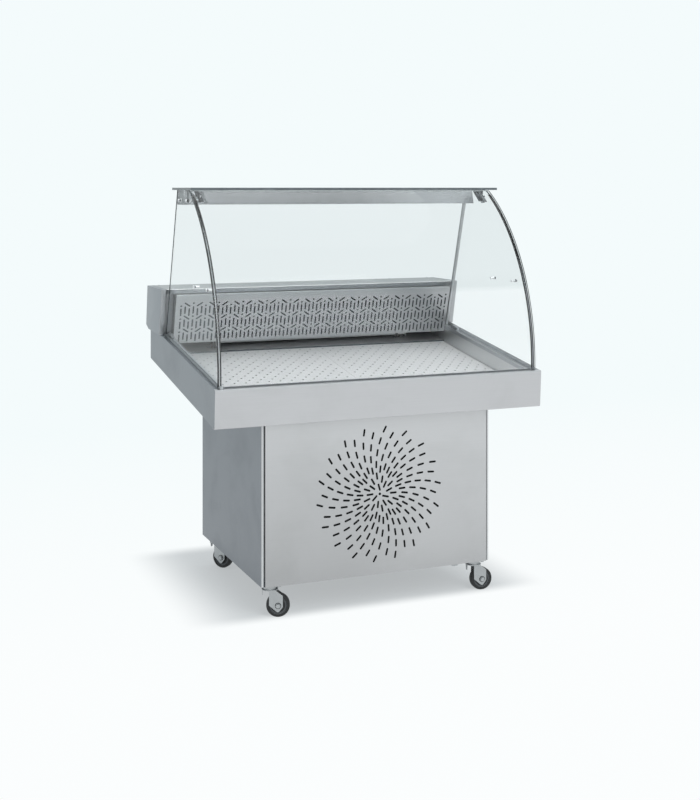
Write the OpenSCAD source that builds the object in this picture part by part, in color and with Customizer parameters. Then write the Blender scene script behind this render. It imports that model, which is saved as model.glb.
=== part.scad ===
// Mobile refrigerated saladette: a pedestal on casters, a tilted display counter and a curved glass case.
// Millimetres, +Z up, the customer's side towards -Y. The origin is on the floor, under the middle of the whole.
// Outlines of the counter, housing and glass are given as depth behind the fascia and height above the floor.

/* [Counter] */
// Width of the display counter
counter_w = 1140; // [1120:2:1300]
// Depth from the front edge of the fascia to the counter's rear wall
counter_d = 832; // [826:1:900]
// Thickness of the counter, square to its deck
counter_t = 122; // [118:1:150]
// Height of the front rim above the floor
rim_h = 742; // [720:1:800]
// Slope of the deck, rising to the rear
tilt = 8.2; // [7:0.1:9]
// How far the fascia leans in at its foot
fascia_lean = 8; // [2:0.5:16]
// Width of the flanges folded in along the top of the fascia and the sides
top_flange = 14; // [10:0.5:16]
// Width of the flanges folded in along the foot of the fascia and the sides
foot_flange = 20; // [12:1:30]
// Width of the rim round the well
rim_w = 40; // [36:1:50]
// Depth of the tray tops below the rim
tray_drop = 65; // [55:1:75]
// Depth of the well floor below the rim
well_deep = 98; // [94:1:100]
// Depth from the fascia to the well's rear wall
well_rear = 659; // [650:1:662]
// Depth of the evaporator floor below the rim
evap_drop = 60; // [56:1:64]
// Thickness of the sheet steel
sheet = 1.5; // [1:0.1:1.8]
// Radius of the folds that face the customer
fold_r = 4; // [2.5:0.5:5]

/* [Trays] */
// Diameter of the tray holes
tray_hole_d = 8; // [5:0.5:10]
// Spacing of the tray holes across
tray_pitch_x = 40; // [34:1:60]
// Spacing of the tray hole rows
tray_pitch_y = 26; // [22:1:40]
// Gap between the trays and round them
tray_gap = 1; // [0.5:0.1:2]

/* [Pedestal] */
// Width of the pedestal
pedestal_w = 805; // [790:1:900]
// Depth of the pedestal between its corner folds
pedestal_d = 677; // [670:1:700]
// Set-back of the pedestal behind the fascia
pedestal_set = 62; // [50:1:70]
// How far the front panel stands proud of the corner folds
panel_proud = 6; // [4:0.5:10]
// Width of the corner folds beside the front panel
corner_w = 7; // [5:0.5:9]
// Gap between the corner folds and the front panel
panel_gap = 4.5; // [3:0.5:6]
// Height of the front panel
panel_h = 517; // [480:1:520]
// Thickness of the base plate
base_t = 2; // [1.5:0.1:3]

/* [Slot swirl] */
// Height of the swirl's centre above the floor
swirl_z = 364.7; // [355:0.1:370]
// Length of a slot
slot_len = 24.5; // [18:0.5:26]
// Width of a slot
slot_w = 6.6; // [4:0.2:8]
// Diameter of the hole in the middle
swirl_dot = 9; // [6:0.5:12]
// Distance of each arm's own centre from the middle
arm_d = 250; // [235:1:270]
// Radius at which the outermost slots are centred
swirl_r = 209.6; // [195:0.1:212]

/* [Evaporator housing] */
// Width of the housing
house_w = 1120; // [1100:2:1280]
// How far the housing overhangs the counter's rear wall
house_over = 35; // [20:1:50]
// Height of the housing's top above the floor
house_top = 1003; // [990:1:1020]
// Height of its lower rear corner above the floor
house_foot_z = 860; // [850:1:870]
// Depth of the foot of its front edge
house_foot_d = 676; // [672:1:690]
// Depth of the top of its front edge
house_top_d = 638; // [632:1:650]
// Width of the cheeks beside the grille
cheek_w = 30; // [24:1:34]
// Place of the seam between the two lids, right of the middle
lid_seam = 350; // [200:5:420]

/* [Air grille] */
// Depth of the grille's lower edge
grille_foot_d = 657; // [652:1:664]
// Height of the grille's lower edge
grille_foot_z = 810; // [804:1:816]
// Depth of the grille's upper edge
grille_top_d = 604; // [598:1:612]
// Height of the grille's upper edge
grille_top_z = 985; // [980:1:988]
// Width of one repeat of the pattern
grille_p = 89.3; // [80:0.1:100]
// Height of one row of the pattern
grille_row = 49; // [46:0.5:50]
// Width of the grille's slots
grille_slot = 5.5; // [3:0.5:7]
// Diameter of the grille's dots
grille_dot = 7; // [4:0.5:8]

/* [Glass case] */
// Thickness of the side and front glass
glass_t = 6; // [5:0.5:8]
// Distance of the side glass from the counter's side
glass_in = 15; // [14.5:0.5:18]
// Outer radius of the front glass
front_r = 685; // [680:1:690]
// Depth of the front glass's centre of curvature
front_cd = 702; // [698:1:706]
// Height of the front glass's centre of curvature
front_cz = 765; // [762:1:768]
// Gap between the front glass and the side glass edges
front_gap = 2; // [1:0.5:3]
// Depth of the side glass's rear edge at its foot
side_foot_d = 670; // [660:1:672]
// Depth of the side glass's rear edge at its top
side_top_d = 512; // [500:1:520]
// Height of the shelf's underside above the floor
shelf_z = 1351; // [1346:1:1353]
// Thickness of the top shelf
shelf_t = 8; // [6:0.5:10]
// Width of the top shelf
shelf_w = 1130; // [1120:2:1300]
// Depth of the shelf's front edge
shelf_front = 299; // [292:1:300]
// Depth of the shelf's rear edge
shelf_rear = 541; // [520:1:560]
// Height of the bar under the shelf
bar_h = 50; // [44:1:56]

/* [Casters] */
// Height from the floor to the pedestal's underside
caster_h = 105; // [102:1:112]
// Diameter of the wheels
wheel_d = 75; // [70:1:76]
// Width of the wheels
wheel_w = 24; // [20:0.5:26]
// Distance of the axle behind the swivel's axis
trail = 26; // [22:0.5:28]
// Inset of the swivel axes from the pedestal's sides
caster_in = 40; // [38:1:60]
// Inset of the rear swivel axes from the pedestal's rear
caster_rear = 54; // [38:1:70]
// Swing of the front left caster
swing_fl = -19; // [-90:1:90]
// Swing of the front right caster
swing_fr = -6; // [-90:1:90]
// Swing of the rear left caster
swing_rl = -50; // [-90:1:90]
// Swing of the rear right caster
swing_rr = -12; // [-90:1:90]

/* [Fits] */
// Running clearance round a turning shaft, on the radius
run_fit = 0.08; // [0.05:0.01:0.1]
// Clearance of a seat between still pieces
seat = 0.3; // [0.2:0.05:0.4]

/* [Hidden] */
$fn = 48;

// Colours of the pieces
steel = "#b9bfc2";
steel_dark = "#8a9299";
steel_light = "#d8dcdd";
zinc = "#aeb4b6";
black = "#1f2426";
glass = [0.85, 0.93, 0.93, 0.35];
edge_glass = [0.3, 0.34, 0.35, 0.6];

// Half widths
half_w = counter_w / 2;
half_p = pedestal_w / 2;
half_h = house_w / 2;
inner_w = half_w - rim_w;

// Depths behind the fascia
overall_d = counter_d + house_over;
y_front = -overall_d / 2;
ped_front = pedestal_set;
ped_rear = pedestal_set + pedestal_d;
panel_face = pedestal_set - panel_proud;

function unit(v) = v / norm(v);
function left_of(v) = [-v[1], v[0]];
function reversed(p) = [for (i = [len(p) - 1:-1:0]) p[i]];
function rot2(a, v) = [v[0] * cos(a) - v[1] * sin(a), v[0] * sin(a) + v[1] * cos(a)];

// Points of the round that replaces the corner b of the path a, b, c
function corner(a, b, c, r, n) =
  let (u = unit(a - b), v = unit(c - b), half = acos(u * v) / 2, m = b + unit(u + v) * r / sin(half),
    p = b + u * r / tan(half) - m, q = b + v * r / tan(half) - m, w = 180 - 2 * half)
  [for (i = [0:n]) m + (p * sin(w * (1 - i / n)) + q * sin(w * i / n)) / sin(w)];

// A path with all its inner corners rounded
function rounded(p, r, n = 4) = concat([p[0]],
  [for (i = [1:len(p) - 2]) each corner(p[i - 1], p[i], p[i + 1], r, n)], [p[len(p) - 1]]);

// The path moved to its left by t
function beside(p, t) = [for (i = [0:len(p) - 1])
  let (j = max(i, 1), k = min(i + 1, len(p) - 1), a = left_of(unit(p[j] - p[j - 1])),
    b = left_of(unit(p[k] - p[k - 1]))) p[i] + t * (a + b) / (1 + a * b)];

// A closed outline with its corners rounded
function loop(p, r, n = 4) = [for (i = [0:len(p) - 1])
  each corner(p[(i + len(p) - 1) % len(p)], p[i], p[(i + 1) % len(p)], r, n)];

// Height of the deck's plane at a depth, and of a plane that lies square below it
function rim_z(d) = rim_h + d * tan(tilt);
function deck_z(d, drop) = rim_z(d) - drop / cos(tilt);

// Place on the deck's plane, up its slope and square to it, of a depth and height
function s_of(d, z) = d * cos(tilt) + (z - rim_h) * sin(tilt);
function h_of(d, z) = (z - rim_h) * cos(tilt) - d * sin(tilt);
function s_at(d, h) = (d + h * sin(tilt)) / cos(tilt);

// The fascia's outer face at a height
fascia_foot_z = deck_z(fascia_lean, counter_t);
function fascia_d(z) = fascia_lean * (rim_h - z) / (rim_h - fascia_foot_z);

// A sheet of thickness t folded along a path, lying on the path's left
module folded(path, t, r = 2) {
  q = rounded(path, r);
  polygon(concat(q, reversed(beside(q, t))));
}

// A plate from x0, t thick, whose outline is given as depth and height
module slab(x0, t) {
  translate([x0, y_front, 0]) rotate([90, 0, 90]) linear_extrude(height = t) children();
}

// The deck's own frame: x across, y up the slope, z square to the deck
module deck() {
  translate([0, y_front, rim_h]) rotate([tilt, 0, 0]) children();
}

// A plate across the deck's frame, outlined by slope and square height
module deck_slab(x0, t) {
  deck() translate([x0, 0, 0]) rotate([90, 0, 90]) linear_extrude(height = t) children();
}

// A run up the slope from s0, outlined across and square to the deck
module deck_run(s0, len) {
  deck() translate([0, s0 + len, 0]) rotate([90, 0, 0]) linear_extrude(height = len) children();
}

module both_sides() {
  children();
  mirror([1, 0, 0]) children();
}

// A rounded slot of length l over all and width w, along y
module slot2(l, w) {
  translate([-w / 2, -(l - w) / 2]) square([w, l - w]);
  translate([0, -(l - w) / 2]) circle(d = w, $fn = 24);
  translate([0, (l - w) / 2]) circle(d = w, $fn = 24);
}

// A round bar between two points
module rod(a, b, r) {
  v = b - a;
  translate(a) rotate([0, acos(v[2] / norm(v)), atan2(v[1], v[0])]) cylinder(r = r, h = norm(v));
}

// A tube that follows straight runs, with brazed ball elbows a little wider than the tube
elbow_over = 0.8;
module pipe(path, r) {
  for (i = [0:len(path) - 2]) rod(path[i], path[i + 1], r);
  for (i = [1:len(path) - 2]) translate(path[i]) rotate([37, 23, 11]) sphere(r = r + elbow_over);
}

// Counter

side_foot_z = deck_z(counter_d, counter_t);
// How far the counter's upper rear corner lies below the rim's plane
back_drop = 16;
side_back_z = rim_z(counter_d) - back_drop;
flange_gap = seat;
outline_side = [
  [fascia_d(rim_h - 2.5) + sheet + 0.2, rim_h - 2.5],
  [top_flange + flange_gap, rim_z(top_flange + flange_gap) - 2.5],
  [top_flange + flange_gap, rim_z(top_flange + flange_gap)],
  [house_foot_d, rim_z(house_foot_d)],
  [counter_d, side_back_z],
  [counter_d, side_foot_z],
  [fascia_lean + foot_flange + flange_gap, deck_z(fascia_lean + foot_flange + flange_gap, counter_t)],
  [fascia_lean + foot_flange + flange_gap, deck_z(fascia_lean + foot_flange + flange_gap, counter_t - 2.5)],
  [fascia_d(fascia_foot_z + 4) + sheet + 0.2, deck_z(fascia_lean, counter_t - 3.5)]];

module counter_side() {
  color(steel_dark) {
    intersection() {
      deck_run(-20, overall_d + 60)
        folded([[half_w - top_flange, 0], [half_w, 0], [half_w, -counter_t], [half_w - foot_flange, -counter_t]],
          -sheet, fold_r - 1);
      slab(half_w - 60, 70) polygon(outline_side);
    }
    slab(half_w - foot_flange, foot_flange - sheet / 2) polygon([
      [house_foot_d + 2, deck_z(house_foot_d + 2, 2.6)],
      [counter_d - 2, side_back_z - 0.1],
      [counter_d - 2, side_back_z - 0.1 - sheet],
      [house_foot_d + 2, deck_z(house_foot_d + 2, 2.6 + sheet)]]);
  }
}

module fascia() {
  color(steel) slab(-half_w, counter_w)
    folded([[top_flange, rim_z(top_flange)], [0, rim_h], [fascia_lean, fascia_foot_z],
      [fascia_lean + foot_flange, deck_z(fascia_lean + foot_flange, counter_t)]], sheet, fold_r);
}

// Places of the passages through the counter's floor
drain_x = 300;
drain_s = 95;
pipe_x = -half_p + 32;
pipe_d = ped_rear - 24;

module passages(r_drain, r_pipe) {
  deck() translate([drain_x, drain_s, -counter_t - 10]) cylinder(r = r_drain, h = counter_t + 9);
  translate([pipe_x, y_front + pipe_d, caster_h + 200]) cylinder(r = r_pipe, h = 620);
}

// The floor lies inside the rounds of the flanges' folds, and the rear wall widens above them
bottom_drop = counter_t - sheet;
bottom_x = half_w - fold_r;
bottom_s0 = s_at(fascia_lean + fold_r + 2 * seat, -bottom_drop);

module rear_wall(w, lift) {
  slab(-w, 2 * w) polygon([
    [counter_d - sheet, deck_z(counter_d - sheet, bottom_drop) + lift],
    [counter_d, deck_z(counter_d, bottom_drop) + lift],
    [counter_d, side_back_z - seat],
    [counter_d - sheet, side_back_z - seat]]);
}

module counter_bottom() {
  color(steel_dark) difference() {
    union() {
      deck_slab(-bottom_x, 2 * bottom_x) polygon([
        [bottom_s0, -bottom_drop],
        [s_at(counter_d, -bottom_drop), -bottom_drop],
        [s_at(counter_d, -bottom_drop) - 0.3, -bottom_drop + sheet],
        [bottom_s0, -bottom_drop + sheet]]);
      rear_wall(bottom_x, 0);
      rear_wall(half_w - sheet, fold_r);
    }
    passages(17, 22);
  }
}

// Well

lip_h = 15;
well_front = rim_w;
rim_drop = sheet;
well_s = s_at(well_rear, -evap_drop);
evap_s = s_at(counter_d - 26, -evap_drop);
liner_t = 1.2;
liner_x = inner_w + sheet + liner_t;
foot_s = s_at(house_foot_d, -3);

module rim_frame() {
  color(steel) {
    difference() {
      union() {
        deck() translate([-half_w + sheet + 2.5, sheet + 5, -rim_drop - sheet])
          cube([counter_w - 2 * sheet - 5, foot_s - sheet - 5, sheet]);
        deck() translate([-inner_w - sheet, well_front - sheet, -lip_h])
          cube([2 * inner_w + 2 * sheet, foot_s - well_front + sheet, lip_h - rim_drop - sheet / 2]);
      }
      deck() translate([-inner_w, well_front, -lip_h - 5]) cube([2 * inner_w, overall_d, lip_h + 10]);
    }
  }
}

function liner_outline(o, top) = [
  [well_front - sheet - o, top],
  [well_front - sheet - o, -well_deep - o],
  [well_s + o, -well_deep - o],
  [well_s + o, -evap_drop - o],
  [evap_s + o, -evap_drop - o],
  [evap_s + o, top - 13],
  [foot_s, top]];

module well_liner() {
  color(steel_light) difference() {
    deck_slab(-liner_x, 2 * liner_x) polygon(liner_outline(liner_t, -rim_drop - sheet - 0.1));
    deck_slab(-liner_x + liner_t, 2 * (liner_x - liner_t)) polygon([
      [well_front - sheet, 5],
      [well_front - sheet, -well_deep],
      [well_s, -well_deep],
      [well_s, -evap_drop],
      [evap_s, -evap_drop],
      [evap_s, 5]]);
    passages(12.2, 22);
  }
}

module foam_insulation() {
  g = liner_t + seat;
  color("#e8e2c8") difference() {
    slab(-half_w + sheet + seat, counter_w - 2 * sheet - 2 * seat) polygon([
      [fascia_d(rim_h - 14) + sheet + 3, rim_h - 14],
      [house_foot_d - 10, deck_z(house_foot_d - 10, 16)],
      [counter_d - sheet - seat, side_back_z - 14],
      [counter_d - sheet - seat, deck_z(counter_d - sheet - seat, bottom_drop - sheet - seat)],
      [fascia_lean + sheet + 3, deck_z(fascia_lean + sheet + 3, bottom_drop - sheet - seat)]]);
    deck_slab(-liner_x - seat, 2 * (liner_x + seat)) polygon(concat(
      [for (p = liner_outline(g, 0)) if (p[1] < -20) p], [[evap_s + g, 60], [well_front - sheet - g, 60]]));
    passages(17, 22);
  }
}

module drain_pipe() {
  p_bend = [drain_x, y_front + s_to_d(drain_s, -counter_t - 30), s_to_z(drain_s, -counter_t - 30)];
  color("#e4e6e6") {
    difference() {
      union() {
        deck() translate([drain_x, drain_s, -well_deep]) cylinder(r = 22, h = 1.5);
        deck() translate([drain_x, drain_s, -counter_t - 30]) cylinder(r = 12, h = counter_t + 30 - well_deep + 0.5);
        translate(p_bend) sphere(r = 12 + elbow_over);
        translate([p_bend[0], p_bend[1], caster_h - 20]) cylinder(r = 12, h = p_bend[2] - caster_h + 20);
      }
      deck() translate([drain_x, drain_s, -counter_t - 30]) cylinder(r = 9.5, h = counter_t + 60);
      translate(p_bend) sphere(r = 9.5 + elbow_over);
      translate([p_bend[0], p_bend[1], caster_h - 21]) cylinder(r = 9.5, h = p_bend[2] - caster_h + 21);
    }
  }
}

function s_to_d(s, h) = s * cos(tilt) - h * sin(tilt);
function s_to_z(s, h) = rim_h + s * sin(tilt) + h * cos(tilt);
drain_y = y_front + s_to_d(drain_s, -counter_t - 30);

// One tray: a plate of staggered holes, with its edges folded down to the well's floor
tray_w = inner_w - 1.5 * tray_gap - 0.5;
tray_s0 = well_front + tray_gap;
tray_l = well_s - tray_gap - tray_s0;

module tray() {
  rows = floor((tray_l - 24) / tray_pitch_y);
  cols = floor((tray_w - 24) / tray_pitch_x);
  r0 = (tray_l - rows * tray_pitch_y) / 2;
  c0 = (tray_w - cols * tray_pitch_x) / 2;
  leg = well_deep - tray_drop - seat;
  color(steel_light) deck() translate([tray_gap / 2, tray_s0, -tray_drop]) {
    translate([0, 0, -sheet]) linear_extrude(height = sheet) difference() {
      square([tray_w, tray_l]);
      for (i = [0:rows], j = [0:cols - (i % 2)])
        translate([c0 + (j + (i % 2) / 2) * tray_pitch_x, r0 + i * tray_pitch_y]) circle(d = tray_hole_d);
    }
    translate([0, 0, -leg]) linear_extrude(height = leg - sheet) difference() {
      square([tray_w, tray_l]);
      translate([sheet, sheet]) square([tray_w - 2 * sheet, tray_l - 2 * sheet]);
    }
  }
}

// Pedestal

base_x = half_p - sheet;
base_d0 = ped_front + sheet;
base_d1 = ped_rear - sheet;
caster_x = half_p - caster_in;
caster_d0 = ped_front + 35;
caster_d1 = ped_rear - caster_rear;
bolt_half = 22;

// Plan outlines stand on depth: x across, y behind the fascia
module plan(z0, h) {
  translate([0, y_front, z0]) linear_extrude(height = h) children();
}

// Plan of the base plate, drawn in by g, with corners that clear the folds of the side panels
module base_plan(g) {
  polygon(loop([[-base_x + g, base_d0 + g], [base_x - g, base_d0 + g], [base_x - g, base_d1 - g],
    [-base_x + g, base_d1 - g]], fold_r - g / 2));
}

module base_plate() {
  color(steel_dark) difference() {
    plan(caster_h, 30) base_plan(0);
    plan(caster_h + base_t, 30) base_plan(base_t);
    for (x = [-caster_x, caster_x], d = [caster_d0, caster_d1], i = [-1, 1], j = [-1, 1])
      translate([x + i * bolt_half, y_front + d + j * bolt_half, caster_h - 1]) cylinder(d = 8.4, h = base_t + 2);
    translate([drain_x, drain_y, caster_h - 1]) cylinder(r = 12.3, h = base_t + 2);
  }
}

module pedestal_outline() {
  polygon([[ped_front, caster_h], [ped_front, deck_z(ped_front, bottom_drop)],
    [ped_rear, deck_z(ped_rear, bottom_drop)], [ped_rear, caster_h]]);
}

module side_panel() {
  color(steel_dark) intersection() {
    plan(caster_h, rim_h) folded([[half_p - corner_w, ped_front], [half_p, ped_front], [half_p, ped_rear],
      [half_p - 20, ped_rear]], sheet, fold_r);
    slab(half_p - 40, 60) pedestal_outline();
  }
}

panel_x = half_p - corner_w - panel_gap;
panel_back = ped_front + sheet - seat;

// Angle of an arm at radius r, clockwise from the top: each arm is an arc whose centre lies arm_d from the middle
arm_c = 10 * arm_d;
function arm_angle(i, r) = -21.54 + 10 * i + asin((r + arm_c / r) / (2 * arm_d));
function arm_lean(r) = let (s = (r + arm_c / r) / (2 * arm_d)) atan(r * (1 - arm_c / (r * r)) / (2 * arm_d * cos(asin(s))));
// Number of slots on an arm, and the radius of the innermost
function arm_n(i) = i % 2 == 1 ? 4 : (i / 2) % 6 == 0 ? 6 : (i / 2) % 2 == 0 ? 6 : 5;
function arm_r0(i) = i % 2 == 1 ? 80.2 : (i / 2) % 6 == 0 ? 22 : (i / 2) % 2 == 0 ? 34.6 : 47.9;
function arm_r1(i) = i % 2 == 1 ? swirl_r - 17.6 : swirl_r;

module swirl2() {
  circle(d = swirl_dot);
  for (i = [0:35], k = [0:arm_n(i) - 1]) {
    r = arm_r0(i) + (arm_r1(i) - arm_r0(i)) * k / (arm_n(i) - 1);
    rotate(-arm_angle(i, r)) translate([0, r]) rotate(-arm_lean(r)) slot2(slot_len, slot_w);
  }
}

module front_panel() {
  color(steel) difference() {
    plan(caster_h, panel_h) polygon(concat(
      corner([-panel_x, panel_back], [-panel_x, panel_face], [panel_x, panel_face], 2, 4),
      corner([-panel_x, panel_face], [panel_x, panel_face], [panel_x, panel_back], 2, 4),
      [[panel_x, panel_back], [-panel_x, panel_back]]));
    plan(caster_h + sheet, panel_h - 2 * sheet) translate([-panel_x + sheet, panel_face + sheet])
      square([2 * (panel_x - sheet), 20]);
    translate([0, y_front + panel_face + 10, swirl_z]) rotate([90, 0, 0]) linear_extrude(height = 20) swirl2();
  }
}

// The back panel lies on the side panels' rear flanges and carries pressed louvres
louvre_l = 220;
louvre_r = 7;
louvre_n = 9;
louvre_pitch = 30;
back_z1 = deck_z(ped_rear + sheet, bottom_drop) - 4;

module louvre() {
  difference() {
    intersection() {
      translate([-louvre_l / 2, 0, 0]) rotate([0, 90, 0]) cylinder(r = louvre_r, h = louvre_l);
      translate([-louvre_l / 2 - 1, 0, 0]) cube([louvre_l + 2, louvre_r + 1, louvre_r + 1]);
    }
    translate([-louvre_l / 2 + 1.2, 0, 0]) rotate([0, 90, 0]) cylinder(r = louvre_r - 1.2, h = louvre_l - 2.4);
  }
}

module back_panel() {
  y0 = y_front + ped_rear;
  color(steel_dark) {
    difference() {
      translate([-half_p + 3, y0, caster_h + 2]) cube([2 * half_p - 6, sheet, back_z1 - caster_h - 2]);
      for (x = [-190, 190], k = [0:louvre_n - 1])
        translate([x - louvre_l / 2 + 1.2, y0 - 1, caster_h + 150 + k * louvre_pitch])
          cube([louvre_l - 2.4, sheet + 2, louvre_r - 1.2]);
      translate([inlet_x - 24, y0 - 1, inlet_z - 14]) cube([48, sheet + 2, 28]);
      for (x = [-half_p + 12, half_p - 12], z = [caster_h + 20, caster_h + 260, caster_h + 500])
        translate([x, y0 - 1, z]) rotate([-90, 0, 0]) cylinder(d = 5, h = 4);
    }
    for (x = [-190, 190], k = [0:louvre_n - 1])
      translate([x, y0 + sheet, caster_h + 150 + k * louvre_pitch]) louvre();
  }
}

post_w = 30;
post_t = 2;
module posts(g) {
  x1 = base_x - base_t - g;
  d0 = base_d0 + base_t + g;
  d1 = base_d1 - base_t - g;
  translate([x1 - post_t, d0]) square([post_t, post_w]);
  translate([x1 - post_w, d0]) square([post_w, post_t]);
  translate([x1 - post_t, d1 - post_w]) square([post_t, post_w]);
  translate([x1 - post_w, d1 - post_t]) square([post_w, post_t]);
}

module pedestal_frame() {
  g = 0.2;
  color(zinc) both_sides() {
    intersection() {
      plan(caster_h + base_t + g, rim_h) intersection() {
        base_plan(base_t + g);
        posts(g);
      }
      slab(-1, half_p) polygon([[ped_front, caster_h], [ped_front, deck_z(ped_front, bottom_drop + g)],
        [ped_rear, deck_z(ped_rear, bottom_drop + g)], [ped_rear, caster_h]]);
    }
    slab(half_p - sheet - base_t - g - post_t, post_t) polygon([
      [ped_front + sheet + base_t + g + 1, deck_z(ped_front + sheet + base_t + g + 1, bottom_drop + g)],
      [ped_rear - sheet - base_t - g - 1, deck_z(ped_rear - sheet - base_t - g - 1, bottom_drop + g)],
      [ped_rear - sheet - base_t - g - 1, deck_z(ped_rear - sheet - base_t - g - 1, bottom_drop + post_w)],
      [ped_front + sheet + base_t + g + 1, deck_z(ped_front + sheet + base_t + g + 1, bottom_drop + post_w)]]);
    for (d = [ped_front + sheet + base_t + g, ped_rear - sheet - base_t - g - post_t])
      translate([-0.5, y_front + d, deck_z(d, bottom_drop + post_w)])
        cube([half_p - sheet - base_t - g - 1, post_t, post_w - 2]);
  }
}

// Condensing unit

comp_x = -190;
comp_d = 500;
comp_r = 74;
comp_h = 165;
feet_h = 18;
comp_z = caster_h + base_t;

module compressor() {
  translate([comp_x, y_front + comp_d, comp_z]) color(black) {
    translate([0, 0, feet_h + 3]) rotate_extrude() polygon(concat([[0, 0]],
      [for (a = [-90:15:0]) [comp_r - 22 + 22 * cos(a), 22 + 22 * sin(a)]],
      [for (a = [0:15:90]) [comp_r - 30 + 30 * cos(a), comp_h - 30 + 30 * sin(a)]], [[0, comp_h]]));
    translate([-105, -65, feet_h]) difference() {
      cube([210, 130, 3.5]);
      for (x = [12, 198], y = [12, 118]) translate([x, y, -1]) cylinder(d = 9, h = 6);
    }
    translate([comp_r - 6, -22, feet_h + 60]) cube([34, 44, 52]);
    translate([-comp_r + 14, 0, feet_h + 3 + comp_h - 40]) cylinder(r = 5, h = 60);
    translate([-30, -comp_r + 20, feet_h + 3 + comp_h - 40]) cylinder(r = 3.5, h = 55);
  }
}

module compressor_feet() {
  color("#2b2b2b") for (x = [-93, 93], y = [-53, 53]) translate([comp_x + x, y_front + comp_d + y, comp_z]) {
    rotate_extrude() polygon([[0, 0], [13, 0], [13, 5], [10, 8], [10, 12], [12, feet_h], [0, feet_h]]);
    translate([0, 0, feet_h - 1]) cylinder(d = 8.4, h = 7);
  }
}

coil_x = 150;
coil_d0 = 110;
coil_d1 = 160;
coil_z0 = comp_z + 12;
coil_h = 300;
fan_z = coil_z0 + coil_h / 2;

module condenser_coil() {
  color("#9aa0a2") {
    translate([-coil_x, y_front + coil_d0, coil_z0]) cube([2 * coil_x, coil_d1 - coil_d0, coil_h]);
    for (x = [-coil_x - 2, coil_x]) translate([x, y_front + coil_d0 - 4, comp_z])
      cube([2, coil_d1 - coil_d0 + 8, coil_h + 16]);
  }
  color("#b87346") for (s = [-1, 1], k = [0:4])
    translate([s * (coil_x + 2), y_front + (coil_d0 + coil_d1) / 2, coil_z0 + 30 + k * 60])
      rotate([90, 0, s > 0 ? 90 : -90]) u_bend(12, 4.5);
}

// A half ring of tube, standing on its two ends
module u_bend(r, t) {
  intersection() {
    rotate_extrude() translate([r, 0]) circle(r = t, $fn = 24);
    translate([-r - t - 1, 0, -t - 1]) cube([2 * r + 2 * t + 2, r + t + 1, 2 * t + 2]);
  }
}

collar_r = 125;
shroud_d = coil_d1 + 14;
module condenser_shroud() {
  color(black) difference() {
    union() {
      translate([-coil_x + seat, y_front + coil_d1 + 4.3, comp_z]) cube([2 * coil_x - 2 * seat, 14, coil_h + 16]);
      translate([0, y_front + coil_d1 + 4.3, fan_z]) rotate([-90, 0, 0]) cylinder(r = collar_r + 2, h = 34);
    }
    translate([-coil_x + 2, y_front + coil_d1 + 3, comp_z + 14]) cube([2 * coil_x - 4, 13.8, coil_h - 2]);
    translate([0, y_front + coil_d1, fan_z]) rotate([-90, 0, 0]) cylinder(r = collar_r, h = 60);
  }
}

// A fan wheel on a shaft along y: hub, bore and pitched blades
module fan_wheel(r, hub_r, depth, bore_r, blades) {
  difference() {
    union() {
      rotate([-90, 0, 0]) cylinder(r = hub_r, h = depth);
      for (k = [0:blades - 1]) rotate([0, k * 360 / blades, 0]) intersection() {
        translate([0, depth / 2, hub_r - 3]) rotate([0, 0, 32]) translate([-r * 0.3, -0.8, 0])
          cube([r * 0.6, 1.6, r - hub_r + 3]);
        translate([0, 0.2, 0]) rotate([-90, 0, 0]) cylinder(r = r, h = depth - 0.4);
      }
    }
    translate([0, -1, 0]) rotate([-90, 0, 0]) cylinder(r = bore_r, h = depth + 2);
  }
}

cfan_d = coil_d1 + 14;
cfan_l = 26;
shaft_r = 4;
module condenser_rotor() {
  color("#33393b") translate([0, y_front + cfan_d, fan_z])
    fan_wheel(collar_r - 7, 24, cfan_l, shaft_r + run_fit, 5);
}

// Fan motors: the condenser's, and two small ones behind the fan plate
efan_s = s_of(grille_foot_d, grille_foot_z) + 22;
efan_l = 18;
efan_r = 68;
efan_x = [-185, 200];
efan_h = 52;
plate_s = efan_s + 18;

module motor(body_r, body_l, shaft_l, arm_r, arm_w, arms) {
  rotate([-90, 0, 0]) cylinder(r = body_r, h = body_l);
  translate([0, -shaft_l, 0]) rotate([-90, 0, 0]) cylinder(r = shaft_r, h = shaft_l + 1);
  for (k = [0:arms - 1]) rotate([0, 60 + k * 360 / arms, 0]) translate([-arm_w / 2, 2, 0]) cube([arm_w, 2.5, arm_r]);
}

module fan_motors() {
  m0 = cfan_d + cfan_l + 2;
  rim_y = coil_d1 + 38.3;
  color("#24292b") {
    translate([0, y_front + m0, fan_z]) motor(36, 52, cfan_l + 1, collar_r + 2, 8, 3);
    for (k = [0:2]) translate([0, y_front + m0 + 2, fan_z]) rotate([0, 60 + k * 120, 0])
      translate([-4, -(m0 + 2 - rim_y) + seat, collar_r - 1]) cube([8, m0 + 4 - rim_y, 3]);
    for (x = efan_x) deck() translate([x, plate_s + sheet + 1.5, efan_h]) {
      motor(30, 26, plate_s + sheet + 1.5 - efan_s - 1, efan_r + 12, 7, 4);
      for (k = [0:3]) rotate([0, 60 + k * 90, 0]) translate([-3.5, -1.5 + seat, efan_r + 8]) cube([7, 4, 4]);
    }
  }
}

module evaporator_rotor(x) {
  color("#33393b") deck() translate([x, efan_s, efan_h]) fan_wheel(efan_r, 20, efan_l, shaft_r + run_fit, 5);
}

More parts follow.
